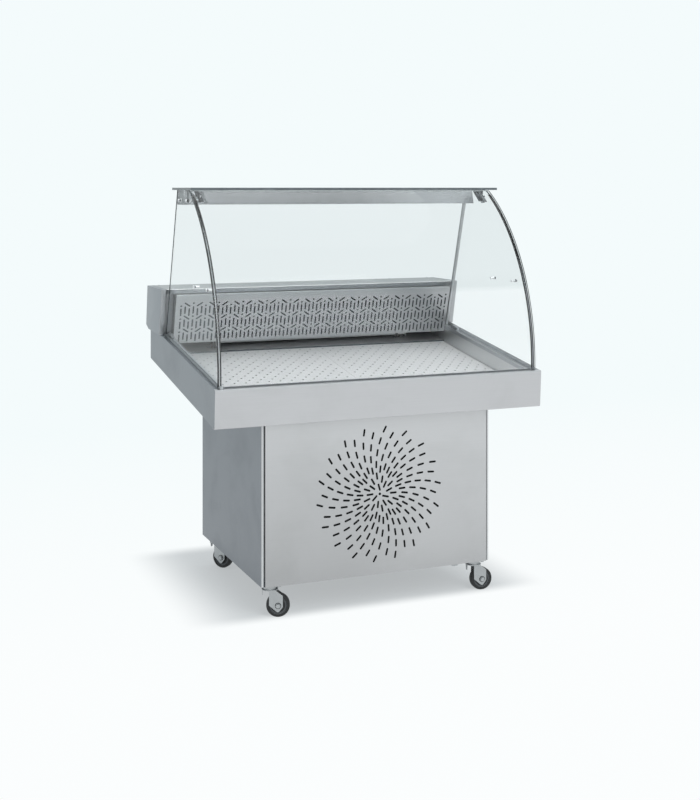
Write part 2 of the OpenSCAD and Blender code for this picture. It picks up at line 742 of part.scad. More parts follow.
module pipework() {
  cy = y_front + comp_d;
  top = comp_z + feet_h + 3 + comp_h + 20;
  ey = y_front + s_to_d(coil_s + 25, 10);
  ez = s_to_z(coil_s + 25, 10);
  color("#b87346") {
    pipe([[comp_x - comp_r + 14, cy, top + 0.3], [comp_x - comp_r + 14, cy, top + 40],
      [pipe_x, cy, top + 40], [pipe_x, y_front + pipe_d, top + 90], [pipe_x, y_front + pipe_d, ez],
      [pipe_x, ey, ez], [coil_e0 - 2.3, ey, ez]], 5);
    pipe([[comp_x - 30, cy - comp_r + 20, top - 4.7], [comp_x - 30, cy - comp_r + 20, top + 18],
      [comp_x - 30, y_front + coil_d1 + 60, top + 18], [-coil_x - 40, y_front + coil_d1 + 60, top + 18],
      [-coil_x - 40, y_front + 135, top + 18], [-coil_x - 40, y_front + 135, coil_z0 + 272],
      [-coil_x - 2.3, y_front + 135, coil_z0 + 272]], 3.2);
    pipe([[-coil_x - 2.3, y_front + 124, coil_z0 + 12], [-coil_x - 60, y_front + 124, coil_z0 + 12],
      [-coil_x - 60, y_front + 250, coil_z0 + 12], [pipe_x + 12, y_front + 250, coil_z0 + 12],
      [pipe_x + 12, y_front + pipe_d + 8, coil_z0 + 12], [pipe_x + 12, y_front + pipe_d + 8, ez - 30],
      [pipe_x + 12, ey - 12, ez - 30], [coil_e0 - 2.3, ey - 12, ez - 30]], 3.2);
    translate([-coil_x - 60, y_front + 160, coil_z0 + 12]) rotate([-90, 0, 0]) cylinder(r = 11, h = 70);
  }
}

inlet_x = 300;
inlet_z = caster_h + 70;
module power_inlet() {
  color(black) translate([inlet_x, y_front + ped_rear + sheet, inlet_z]) {
    difference() {
      union() {
        translate([-30, 0, -16]) cube([60, 3, 32]);
        translate([-23.7, -24, -13.7]) cube([47.4, 24.5, 27.4]);
      }
      translate([-12, -14, -8]) cube([24, 18, 16]);
    }
    for (x = [-7, 0, 7]) translate([x - 1, -14.5, x == 0 ? 1 : -3]) cube([2, 13, 4]);
  }
}

// Housing

house_rear = overall_d;
house_rear_top = house_rear - (house_top - house_foot_z) * tan(tilt);
rear_s = s_of(house_rear, house_foot_z);
lid_t = sheet;
lid_drop = 16;

function cheek_d(z) = house_foot_d + (house_top_d - house_foot_d) * (z - rim_z(house_foot_d))
  / (house_top - rim_z(house_foot_d));

house_side = [
  [house_foot_d + 1, rim_z(house_foot_d) + seat],
  [cheek_d(house_top - sheet - seat), house_top - sheet - seat],
  [house_rear_top, house_top - sheet - seat],
  [house_rear, house_foot_z],
  [counter_d + 0.5, side_back_z + seat]];

module housing_shell() {
  tz = house_top - sheet - seat;
  fz = rim_z(house_foot_d) + seat;
  color(steel_dark) difference() {
    union() {
      both_sides() {
        slab(half_h - sheet, sheet) polygon(house_side);
        slab(half_h - cheek_w, cheek_w - sheet / 2) polygon([
          [house_foot_d + 1, fz], [cheek_d(tz), tz], [cheek_d(tz) + sheet, tz], [house_foot_d + 1 + sheet, fz]]);
        slab(half_h - 14, 14 - sheet / 2) polygon([
          [cheek_d(tz), tz], [house_rear_top - sheet / 2, tz],
          [house_rear_top - sheet / 2, tz - sheet], [cheek_d(tz), tz - sheet]]);
      }
      slab(-half_h + sheet / 2, house_w - sheet) polygon([
        [house_rear_top, tz], [house_rear, house_foot_z], [counter_d + 0.5, side_back_z + seat],
        [counter_d - 12, side_back_z + seat - 0.4], [counter_d - 12, side_back_z + seat + sheet],
        [counter_d + 0.5, side_back_z + seat + sheet + 0.4],
        [house_rear - sheet * 1.3, house_foot_z + sheet * 0.7], [house_rear_top - sheet, tz]]);
    }
    deck() translate([ctl_x - 35.8, rear_s - 5, ctl_h + 10.2]) cube([71.6, 10, 29.6]);
    deck() translate([ctl_x - 11.3, rear_s - 5, rock_h - 14.3]) cube([22.6, 10, 28.6]);
  }
}

module housing_lid(x0, x1) {
  color(steel) slab(x0, x1 - x0)
    folded([[cheek_d(house_top - lid_drop) - sheet - seat, house_top - lid_drop],
      [house_top_d - sheet - seat, house_top],
      [house_rear_top + sheet + seat, house_top], [house_rear_top + sheet + seat + 1.4, house_top - 10]],
      -sheet, 2.2);
}

lean = atan((grille_foot_d - grille_top_d) / (grille_top_z - grille_foot_z));
grille_l = norm([grille_foot_d - grille_top_d, grille_top_z - grille_foot_z]);
grille_x0 = -19;
grille_return = 38;

// One repeat of the grille's pattern: two dots, two slanting slots and six upright ones
module grille_repeat() {
  for (p = [[0, 0], [grille_p / 2, -10]]) translate(p) circle(d = grille_dot, $fn = 24);
  for (s = [0, 1]) translate([grille_p * (0.25 + s * 0.5), -4.5]) rotate(s == 0 ? -56 : 56)
    slot2(25.5, grille_slot);
  for (k = [0:5]) translate([k * grille_p / 6, -25.5 - (k % 2) * 7.5]) slot2(29, grille_slot);
}

module grille_pattern() {
  n = floor((inner_w - 12) / grille_p);
  difference() {
    for (i = [-n - 1:n + 1], j = [0:2]) translate([grille_x0 + i * grille_p, grille_l - 33 - j * grille_row])
      grille_repeat();
    for (s = [-1, 1]) translate([s * (inner_w + 190), grille_l / 2]) square([400, 2 * grille_l], center = true);
  }
}

module air_grille() {
  g = grille_return;
  color(steel) {
    difference() {
      slab(-inner_w + seat, 2 * (inner_w - seat))
        folded([[grille_foot_d + 12, grille_foot_z + 1.5], [grille_foot_d, grille_foot_z],
          [grille_top_d, grille_top_z], [grille_top_d + 46, grille_top_z]], -sheet, 2);
      translate([0, y_front + grille_foot_d, grille_foot_z]) rotate([90 + lean, 0, 0])
        translate([0, 0, -sheet - 2]) linear_extrude(height = sheet + 4) grille_pattern();
    }
    both_sides() slab(inner_w - seat - sheet, sheet) polygon([
      [grille_foot_d + sheet / 2, grille_foot_z + sheet / 2], [grille_top_d + sheet / 2, grille_top_z - sheet / 2],
      [grille_top_d + g, grille_top_z - sheet / 2], [grille_foot_d + g, grille_foot_z + sheet / 2 + 4]]);
  }
}

coil_s = plate_s + 35;
coil_e0 = -half_p + 62;
coil_e1 = 400;
module evaporator_coil() {
  color("#9aa0a2") deck() {
    translate([coil_e0, coil_s, -evap_drop + 8]) cube([coil_e1 - coil_e0, 50, 140]);
    for (x = [coil_e0 - 2, coil_e1]) translate([x, coil_s - 4, -evap_drop + seat]) cube([2, 58, 156]);
  }
  color("#b87346") for (k = [0:2]) deck() translate([coil_e1 + 2, coil_s + 25, -evap_drop + 40 + k * 42])
    rotate([90, 0, 90]) u_bend(10, 4);
}

module fan_plate() {
  zt = (house_top - sheet - 2 - s_to_z(plate_s, 0)) / cos(tilt);
  color(zinc) difference() {
    union() {
      deck() translate([-half_h + sheet + seat, plate_s, 0]) cube([house_w - 2 * sheet - 2 * seat, sheet, zt]);
      deck() translate([-inner_w - sheet + seat, plate_s, -20]) cube([2 * (inner_w + sheet - seat), sheet, 21]);
      for (x = efan_x) deck() translate([x, plate_s - 6, efan_h]) rotate([-90, 0, 0]) cylinder(r = efan_r + 5, h = 7);
    }
    for (x = efan_x) deck() translate([x, plate_s - 10, efan_h]) rotate([-90, 0, 0])
      cylinder(r = efan_r + 3.5, h = 20);
  }
}

// Controls, on the housing's rear wall in the deck's frame
ctl_x = 470;
ctl_h = 62;
rock_h = 38;
key_w = 8;
key_travel = 1.2;
key_x = [ctl_x - 30, ctl_x - 20, ctl_x - 10];
key_h = ctl_h + 25;

module control_box() {
  color(zinc) deck() difference() {
    translate([ctl_x - 60, rear_s - sheet - seat - 72, ctl_h - 46]) cube([120, 72, 104]);
    translate([ctl_x - 58.8, rear_s - sheet - seat - 70.8, ctl_h - 44.8]) cube([117.6, 80, 101.6]);
  }
}

module thermostat() {
  w = 71;
  color(black) deck() {
    difference() {
      union() {
        translate([ctl_x - w / 2, rear_s - 60, ctl_h + 10.5]) cube([w, 60.5, 29]);
        translate([ctl_x - 38, rear_s + 0.05, ctl_h + 8]) cube([76, 3.5, 34]);
      }
      for (x = key_x) translate([x - key_w / 2 - 0.3, rear_s - 6, key_h - 3.3]) cube([key_w + 0.6, 12, 6.6]);
      translate([ctl_x + 0, rear_s + 2.6, ctl_h + 14]) cube([32, 4, 22]);
    }
    difference() {
      union() {
        translate([ctl_x - 11, rear_s - 24, rock_h - 14]) cube([22, 24.5, 28]);
        translate([ctl_x - 13, rear_s + 0.05, rock_h - 16]) cube([26, 2, 32]);
      }
      translate([ctl_x - 9.2, rear_s - 14, rock_h - 12.6]) cube([18.4, 20, 25.2]);
    }
    for (s = [-1, 1]) translate([ctl_x + s * 9.6, rear_s - 3, rock_h]) rotate([0, 90, 0])
      cylinder(r = 1.5, h = 1, center = true);
  }
}

module key(x) {
  color("#3a4144") deck() {
    translate([x - key_w / 2, rear_s - 4, key_h - 3]) cube([key_w, 8.7, 6]);
  }
}

// A rocker that tips about its middle, with pivot dimples in both ends
module rocker_switch() {
  color("#8f1d1d") deck() translate([ctl_x, rear_s - 3, rock_h]) difference() {
    translate([-8.9, 0, 0]) rotate([90, 0, 90]) linear_extrude(height = 17.8)
      polygon([[-6, -7], [-6, 7], [2, 11.6], [7.2, 11], [4.6, 0], [7.2, -11], [2, -11.6]]);
    for (s = [-1, 1]) translate([s * 9.2, 0, 0]) rotate([0, 90, 0])
      cylinder(r = 1.5 + run_fit, h = 1.6, center = true);
  }
}

// Glass case

side_x1 = half_w - glass_in;
side_x0 = side_x1 - glass_t;
side_r = front_r - glass_t - front_gap;
gasket_t = 2;
gasket_h = 7;
gasket_w = 3;
side_foot_drop = -gasket_t;
bolt_z = shelf_z - 35;
stud_z = 1036;
stud_d = [294, 144];
hole_r = 4.5;

module at_side(d, z) {
  translate([0, y_front + d, z]) rotate([0, 90, 0]) children();
}

// Depth of a circle about the front glass's centre at a height
function arc_d(r, z) = front_cd - sqrt(r * r - pow(z - front_cz, 2));

// The upper front corner is dubbed off, where the rising front glass swings past it
nose_h = 17;
nose_w = 4.5;

module side_glass() {
  color(glass) difference() {
    slab(side_x0, glass_t) intersection() {
      translate([front_cd, front_cz]) circle(r = side_r, $fn = 360);
      polygon([[-100, deck_z(-100, side_foot_drop - seat)], [side_foot_d, deck_z(side_foot_d, side_foot_drop - seat)],
        [side_top_d, shelf_z - seat], [arc_d(side_r, shelf_z - seat) + nose_w, shelf_z - seat],
        [arc_d(side_r, shelf_z - nose_h), shelf_z - nose_h], [-100, shelf_z - nose_h]]);
    }
    for (d = bolt_d) at_side(d, bolt_z) translate([0, 0, side_x0 - 1]) cylinder(r = hole_r, h = glass_t + 2);
    for (d = stud_d) at_side(d, stud_z) translate([0, 0, side_x0 - 1]) cylinder(r = hole_r, h = glass_t + 2);
  }
}

// Foot of the front glass, on its strip, and its upper edge under the shelf
front_foot_z = 748.5;
front_top_z = shelf_z - 0.8;
front_a0 = 180 + asin((front_cz - front_foot_z) / front_r);
front_a1 = 180 - asin((front_top_z - front_cz) / front_r);
front_x = side_x1 + 2;

module arc_sector(r1, r2, a0, a1, n = 24) {
  intersection() {
    difference() {
      circle(r = r2, $fn = 360);
      circle(r = r1, $fn = 360);
    }
    polygon(concat([[0, 0]], [for (k = [0:n]) 1.2 * r2 * [cos(a0 + (a1 - a0) * k / n), sin(a0 + (a1 - a0) * k / n)]]));
  }
}

module front_glass() {
  color(glass) slab(-front_x, 2 * front_x) translate([front_cd, front_cz])
    arc_sector(front_r - glass_t, front_r, front_a1, front_a0);
}

// Pin on which the front glass hangs, inside its upper edge
pin_r = 3;
pin_off = 5;
pin_z = shelf_z - 13;
pin_d = arc_d(front_r - glass_t - pin_off, pin_z);
ear_x = side_x0 - 27;
ear_t = 3;
clip_w = 11;
knob_d = pin_d + 4;
knob_z = shelf_z - 35;
bolt_d = [pin_d + 135.9, pin_d + 41.9];

// Clips bonded inside the front glass: a barrel round the pin, a curved pad and a stay beside the ear
module glass_clips() {
  rin = front_r - glass_t;
  a_pin = 180 - asin((pin_z - front_cz) / (rin - pin_off));
  color(zinc) both_sides() {
    difference() {
      slab(ear_x - 0.5 - clip_w, clip_w) {
        translate([pin_d, pin_z]) circle(r = pin_off - 0.3);
        translate([front_cd, front_cz]) arc_sector(rin - 2.2, rin - 0.2, a_pin - 0.4, a_pin + 5, 6);
      }
      slab(ear_x - clip_w - 2, clip_w + 4) translate([pin_d, pin_z]) circle(r = pin_r + run_fit);
    }
    slab(ear_x - 2.5, 2) polygon([[knob_d + 5, knob_z - 7], [knob_d + 7, knob_z], [knob_d + 3, knob_z + 7],
      [arc_d(rin - 1, knob_z + 12), knob_z + 12], [arc_d(rin - 1, knob_z - 4), knob_z - 4]]);
  }
}

module hinge_brackets() {
  top = shelf_z - 0.1;
  color(zinc) both_sides() {
    difference() {
      union() {
        slab(ear_x, ear_t) {
          polygon([[pin_d + 7, top], [pin_d + 65, top], [knob_d + 9, knob_z - 6], [knob_d - 7, knob_z - 6],
            [knob_d - 7, pin_z], [pin_d + 7, pin_z + 4]]);
          translate([pin_d, pin_z]) circle(r = pin_off - 0.6);
        }
        slab(ear_x, side_x0 - seat - ear_x) polygon([[pin_d + 8, top], [pin_d + 65, top], [pin_d + 65, top - 2],
          [pin_d + 8, top - 2]]);
        slab(side_x0 - seat - 2.2, 2.2) polygon([[bolt_d[1] - 14, top], [bolt_d[1] + 16, top],
          [bolt_d[1] + 8, bolt_z - 8], [bolt_d[1] - 8, bolt_z - 8]]);
        slab(ear_x - 1.5 - clip_w, clip_w + 2) translate([pin_d, pin_z]) circle(r = pin_r);
      }
      slab(ear_x - 1, ear_t + 2) translate([knob_d, knob_z]) circle(r = 3 + run_fit);
      slab(side_x0 - 5, 6) translate([bolt_d[1], bolt_z]) circle(r = 4.2);
    }
  }
}

// A wing screw: stem through the ear, hub and two wings
module clamp_knob() {
  x1 = ear_x + ear_t + 0.3;
  color(steel_dark) {
    slab(ear_x + 0.2, ear_t + 1) translate([knob_d, knob_z]) circle(r = 3);
    slab(x1, 8) translate([knob_d, knob_z]) circle(r = 6);
    difference() {
      intersection() {
        slab(x1 + 3, 14) translate([knob_d, knob_z]) circle(r = 13);
        translate([x1 + 3, y_front + knob_d - 1.5, knob_z - 20]) cube([14, 3, 40]);
      }
      translate([x1 + 18, y_front + knob_d + 5, knob_z]) rotate([90, 0, 0]) cylinder(r = 7.5, h = 10);
    }
  }
}

// Gap between the side glass and the end of the bar under the shelf, filled by a spacer on the bolt
bar_gap = 4;
module glass_fittings() {
  color("#c9cdce") both_sides() {
    for (d = bolt_d) at_side(d, bolt_z) {
      translate([0, 0, side_x1 + 0.1]) cylinder(r = 5.5, h = 4);
      translate([0, 0, side_x0 - 12]) cylinder(r = 4, h = glass_t + 13);
    }
    at_side(bolt_d[0], bolt_z) {
      translate([0, 0, side_x0 - bar_gap - sheet - 5.2]) cylinder(r = 6.5, h = 5);
      translate([0, 0, side_x0 - bar_gap + 0.1]) cylinder(r = 8, h = bar_gap - 0.2);
    }
    at_side(bolt_d[1], bolt_z) translate([0, 0, side_x0 - 7.6]) cylinder(r = 6, h = 5);
    for (d = stud_d) at_side(d, stud_z) {
      translate([0, 0, side_x1 + 0.1]) cylinder(r = 5, h = 3.5);
      translate([0, 0, side_x0 - 14]) cylinder(r = 4, h = glass_t + 15);
      translate([0, 0, side_x0 - 3.1]) cylinder(r = 5.5, h = 3);
    }
  }
}

module top_shelf() {
  color(edge_glass) translate([-shelf_w / 2, y_front + shelf_front, shelf_z])
    cube([shelf_w, shelf_rear - shelf_front, shelf_t]);
}

bar_x = side_x0 - bar_gap;
bar_d0 = pin_d + 107.9;
bar_d1 = bar_d0 + 85;
bar_lean = 13;
bar_out = [[bar_d0, shelf_z - 0.1], [bar_d0 - bar_lean, shelf_z - bar_h], [bar_d1, shelf_z - bar_h],
  [bar_d1, shelf_z - 0.1]];
module top_bar() {
  t = sheet;
  color(steel) difference() {
    slab(-bar_x, 2 * bar_x) polygon(bar_out);
    slab(-bar_x + t, 2 * (bar_x - t)) polygon([[bar_d0 + t, shelf_z - 0.1 - t],
      [bar_d0 - bar_lean + t * 1.2, shelf_z - bar_h + t], [bar_d1 - t, shelf_z - bar_h + t],
      [bar_d1 - t, shelf_z - 0.1 - t]]);
    slab(-bar_x + 40, 2 * (bar_x - 40)) polygon([[lamp_d, shelf_z - bar_h - 1], [lamp_d + 30, shelf_z - bar_h - 1],
      [lamp_d + 30, shelf_z - bar_h + t + 1], [lamp_d, shelf_z - bar_h + t + 1]]);
    both_sides() at_side(bolt_d[0], bolt_z) translate([0, 0, bar_x - 3]) cylinder(r = 4.2, h = 5);
  }
}

lamp_d = bar_d0 + 15;
module lamp_diffuser() {
  color("#f2f4f4") {
    slab(-bar_x + 40 + seat, 2 * (bar_x - 40 - seat)) polygon([[lamp_d + seat, shelf_z - bar_h + 0.2],
      [lamp_d + 30 - seat, shelf_z - bar_h + 0.2], [lamp_d + 30 - seat, shelf_z - bar_h + sheet + 0.1],
      [lamp_d + seat, shelf_z - bar_h + sheet + 0.1]]);
    slab(-bar_x + 35, 2 * (bar_x - 35)) polygon([[lamp_d - 4, shelf_z - bar_h + sheet + 0.1],
      [lamp_d + 34, shelf_z - bar_h + sheet + 0.1], [lamp_d + 34, shelf_z - bar_h + sheet + 3],
      [lamp_d - 4, shelf_z - bar_h + sheet + 3]]);
  }
}

tube_r = 6.2;
tube_x = side_x0 - gasket_w - 0.5 - tube_r;
tube_lean = (side_foot_d - side_top_d) / (shelf_z - rim_z(side_foot_d));
tube_foot = [side_foot_d - 20, rim_z(side_foot_d - 20)];
tube_top = [tube_foot[0] - (shelf_z - bar_h - tube_foot[1]) * tube_lean, shelf_z - bar_h];
module cable_tube() {
  v = unit([tube_foot[0] - tube_top[0], tube_foot[1] - tube_top[1]]);
  a = tube_foot + v * 10;
  b = tube_top - v * 10;
  color(steel_light) {
    intersection() {
      difference() {
        rod([tube_x, y_front + a[0], a[1]], [tube_x, y_front + b[0], b[1]], tube_r);
        rod([tube_x, y_front + a[0] + v[0], a[1] + v[1]], [tube_x, y_front + b[0] - v[0], b[1] - v[1]], tube_r - 1);
      }
      slab(tube_x - 30, 60) polygon([[300, deck_z(300, rim_drop - 0.1)], [800, deck_z(800, rim_drop - 0.1)], [800, shelf_z - bar_h - 0.1],
        [300, shelf_z - bar_h - 0.1]]);
    }
    deck() translate([tube_x, s_of(tube_foot[0], tube_foot[1]), 0.1 - rim_drop]) difference() {
      cylinder(r = tube_r + 3, h = 2.5);
      translate([0, 0, -1]) cylinder(r = tube_r + 0.9, h = 6);
      translate([side_x0 - gasket_w - seat - tube_x, -20, -1]) cube([20, 40, 6]);
    }
  }
}

// Strips that carry the side glass, blocks at their rear ends, and the strip under the front glass
module foot_gaskets() {
  d0 = 30;
  w = gasket_w;
  s0 = s_at(d0, 0);
  s1 = s_at(side_foot_d - 1, 0);
  color(black) {
    both_sides() deck() {
      difference() {
        union() {
          translate([side_x0 - w, s0, 0.1]) cube([glass_t + w + 2.4, s1 - s0, gasket_h]);
          translate([side_x0 - w, s0, 0.1 - rim_drop])
            cube([half_w - top_flange - seat - side_x0 + w, s1 - s0, rim_drop + 0.5]);
        }
        translate([side_x0 - seat, s0 - 1, gasket_t]) cube([glass_t + 2 * seat, s1 - s0 + 2, gasket_h]);
      }
    }
    mirror([1, 0, 0]) deck() translate([side_x0 - w - 12, s1 - 50, -sheet + 0.1]) cube([12 - seat, 46, 12]);
    deck() translate([side_x0 - w - 12, s1 - 110, -sheet + 0.1]) cube([12 - seat, 46, 12]);
    deck() translate([-inner_w - 8, top_flange + 0.8, -sheet + 0.1]) cube([2 * inner_w + 16, 8, 4.3]);
  }
}

// Casters

wheel_r = wheel_d / 2;
plate_t = 2.5;
crown_z = 89;
fork_in = wheel_w / 2 + 1;
fork_t = 2.5;

module at_caster(i, swing) {
  x = i % 2 == 0 ? -caster_x : caster_x;
  d = i < 2 ? caster_d0 : caster_d1;
  translate([x, y_front + d, 0]) rotate([0, 0, swing]) children();
}

module caster_plates() {
  color(zinc) for (i = [0:3]) at_caster(i, 0) {
    difference() {
      translate([-30, -30, caster_h - plate_t]) linear_extrude(height = plate_t)
        polygon(loop([[0, 0], [60, 0], [60, 60], [0, 60]], 5));
      for (a = [-1, 1], b = [-1, 1]) translate([a * bolt_half, b * bolt_half, 50]) cylinder(d = 8.4, h = 80);
    }
    translate([0, 0, crown_z + 6]) cylinder(r1 = 22, r2 = 24, h = caster_h - plate_t - crown_z - 6);
    translate([0, 0, crown_z - 8]) cylinder(r = 5, h = 18);
    translate([0, 0, crown_z - 8.2]) cylinder(r = 9, h = 4, $fn = 6);
    for (a = [-1, 1], b = [-1, 1]) translate([a * bolt_half, b * bolt_half, 0]) {
      translate([0, 0, caster_h - plate_t - 5]) cylinder(r = 6.5, h = 4.9, $fn = 6);
      translate([0, 0, caster_h - plate_t - 1]) cylinder(r = 4, h = plate_t + base_t + 8);
      translate([0, 0, caster_h + base_t + 0.1]) cylinder(r = 6.5, h = 5, $fn = 6);
    }
  }
}

// One side of the fork, outlined along the trail and in height
fork_side = concat([[trail - 28.5, crown_z - 0.5], [trail - 28.5, 39]],
  rounded([[trail - 28.5, 39], [trail, 15], [trail + 15, 33], [trail + 15, 68]], 6, 5),
  [[trail + 14, 69.5], [trail - 11, crown_z - 0.5]]);

module fork() {
  color(zinc) {
    difference() {
      union() {
        for (s = [-1, 1]) translate([0, s > 0 ? fork_in + fork_t : -fork_in, 0]) rotate([90, 0, 0])
          linear_extrude(height = fork_t) difference() {
            polygon(fork_side);
            translate([trail, wheel_r]) circle(r = 4.05);
          }
        translate([0, 0, crown_z - 2.5]) linear_extrude(height = 2.5) intersection() {
          circle(r = 26);
          square([60, 2 * (fork_in + fork_t) + 12], center = true);
        }
        translate([0, 0, crown_z - 0.5]) cylinder(r = 20, h = 6.2);
        translate([-24.5, -8, crown_z - 20]) rotate([90, 0, 90]) linear_extrude(height = 2)
          polygon([[4, 0], [12, 0], [16, 19], [0, 19]]);
      }
      translate([0, 0, crown_z - 30]) cylinder(r = 5 + run_fit, h = 50);
    }
    translate([trail, -fork_in - fork_t - 4, wheel_r]) rotate([-90, 0, 0])
      cylinder(r = 4, h = 2 * (fork_in + fork_t) + 8);
    for (s = [-1, 1]) translate([trail, s * (fork_in + fork_t + 0.05), wheel_r]) rotate([s * -90, 0, 0]) {
      cylinder(r = 8, h = 1.2);
      translate([0, 0, 1]) cylinder(r = 6.8, h = 5, $fn = 6);
    }
  }
}

module wheel() {
  color("#23282a") translate([trail, 0, wheel_r]) rotate([90, 0, 0]) difference() {
    rotate_extrude($fn = 96) polygon([[0, -wheel_w / 2 - 0.7], [9, -wheel_w / 2 - 0.7], [9, -wheel_w / 2 + 3],
      [wheel_r - 11, -wheel_w / 2 + 3], [wheel_r - 9.5, -wheel_w / 2], [wheel_r - 4, -wheel_w / 2],
      [wheel_r - 1.2, -wheel_w / 2 + 1.5], [wheel_r, -wheel_w / 2 + 5], [wheel_r, wheel_w / 2 - 5],
      [wheel_r - 1.2, wheel_w / 2 - 1.5], [wheel_r - 4, wheel_w / 2], [wheel_r - 9.5, wheel_w / 2],
      [wheel_r - 11, wheel_w / 2 - 3], [9, wheel_w / 2 - 3], [9, wheel_w / 2 + 0.7], [0, wheel_w / 2 + 0.7]]);
    cylinder(r = 4 + run_fit, h = 60, center = true);
  }
}

base_plate();
mirror([1, 0, 0]) side_panel();  // side_panel_left
side_panel();  // side_panel_right
front_panel();
back_panel();
pedestal_frame();
compressor();
compressor_feet();
condenser_coil();
condenser_shroud();
condenser_rotor();
fan_motors();
pipework();
control_box();
thermostat();
key(key_x[2]);  // key_set
key(key_x[1]);  // key_up
key(key_x[0]);  // key_down
rocker_switch();
power_inlet();
mirror([1, 0, 0]) counter_side();  // counter_side_left
counter_side();  // counter_side_right
fascia();
counter_bottom();
foam_insulation();
well_liner();
rim_frame();
drain_pipe();
mirror([1, 0, 0]) tray();  // tray_left
tray();  // tray_right
air_grille();
housing_shell();
housing_lid(-half_h, lid_seam - 0.5);  // housing_lid_left
housing_lid(lid_seam + 0.5, half_h);  // housing_lid_right
evaporator_coil();
fan_plate();
evaporator_rotor(efan_x[0]);  // evaporator_rotor_left
evaporator_rotor(efan_x[1]);  // evaporator_rotor_right
mirror([1, 0, 0]) side_glass();  // side_glass_left
side_glass();  // side_glass_right
front_glass();
glass_clips();
top_shelf();
top_bar();
lamp_diffuser();
cable_tube();
hinge_brackets();
mirror([1, 0, 0]) clamp_knob();  // clamp_knob_left
clamp_knob();  // clamp_knob_right
glass_fittings();
foot_gaskets();
caster_plates();
at_caster(0, swing_fl) fork();  // caster_fl_fork
at_caster(0, swing_fl) wheel();  // caster_fl_wheel
at_caster(1, swing_fr) fork();  // caster_fr_fork
at_caster(1, swing_fr) wheel();  // caster_fr_wheel
at_caster(2, swing_rl) fork();  // caster_rl_fork
at_caster(2, swing_rl) wheel();  // caster_rl_wheel
at_caster(3, swing_rr) fork();  // caster_rr_fork
at_caster(3, swing_rr) wheel();  // caster_rr_wheel
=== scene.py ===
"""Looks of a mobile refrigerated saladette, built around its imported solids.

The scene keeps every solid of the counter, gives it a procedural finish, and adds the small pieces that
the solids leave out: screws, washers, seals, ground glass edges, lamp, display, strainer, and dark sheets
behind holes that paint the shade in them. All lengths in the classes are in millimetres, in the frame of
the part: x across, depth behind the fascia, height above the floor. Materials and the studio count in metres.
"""

import logging
import math
from dataclasses import dataclass, field
from enum import Enum
from typing import Callable, Iterable, Sequence

import bmesh
import bpy
from mathutils import Matrix, Vector


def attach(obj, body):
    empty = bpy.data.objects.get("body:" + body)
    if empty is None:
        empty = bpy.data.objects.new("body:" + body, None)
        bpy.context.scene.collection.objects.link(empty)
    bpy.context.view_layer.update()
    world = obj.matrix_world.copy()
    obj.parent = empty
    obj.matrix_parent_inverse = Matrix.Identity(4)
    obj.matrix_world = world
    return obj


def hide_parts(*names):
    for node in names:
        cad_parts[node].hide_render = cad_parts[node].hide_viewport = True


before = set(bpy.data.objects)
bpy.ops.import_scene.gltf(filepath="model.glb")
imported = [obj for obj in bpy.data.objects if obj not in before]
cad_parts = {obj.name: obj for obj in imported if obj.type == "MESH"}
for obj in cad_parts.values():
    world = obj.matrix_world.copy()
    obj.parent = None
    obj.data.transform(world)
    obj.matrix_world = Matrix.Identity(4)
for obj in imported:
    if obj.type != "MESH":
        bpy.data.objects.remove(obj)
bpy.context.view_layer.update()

LOG = logging.getLogger("saladette")

Rgb = tuple[float, float, float]
Point = tuple[float, float, float]

OVERALL_DEPTH = 867.0
RIM_HEIGHT = 742.0
DECK_TILT = math.radians(8.2)
DECK_TURN = Matrix.Rotation(DECK_TILT, 4, "X")

# Type of a group's socket, by how many numbers it holds
SOCKETS = {1: "NodeSocketFloat", 3: "NodeSocketVector", 4: "NodeSocketColor"}
MID_GREY = (0.6, 0.6, 0.6, 1.0)
DARK_GREY = (0.1, 0.1, 0.1, 1.0)
# Bands that a wave texture draws over a metre, for each unit of its scale
BANDS_PER_SCALE = 3.2


def place(x: float, depth: float, height: float) -> Vector:
    """Turns a place in the part's own terms into the scene's metres."""
    return Vector((x, depth - OVERALL_DEPTH / 2, height)) / 1000.0


def on_deck(x: float, slope: float, lift: float) -> Vector:
    """Turns a place on the tilted deck into the scene's metres.

    Args:
        x: Millimetres to the right of the middle.
        slope: Millimetres up the deck from its front edge.
        lift: Millimetres square above the rim's plane.

    Returns:
        The point in metres.
    """
    depth = slope * math.cos(DECK_TILT) - lift * math.sin(DECK_TILT)
    height = RIM_HEIGHT + slope * math.sin(DECK_TILT) + lift * math.cos(DECK_TILT)
    return place(x, depth, height)


class Grain(Enum):
    """Direction in which a sheet of steel was brushed, as stretch factors of the grain's noise."""

    ACROSS = (6.0, 420.0, 420.0)
    UPRIGHT = (420.0, 420.0, 6.0)
    NONE = (60.0, 60.0, 60.0)


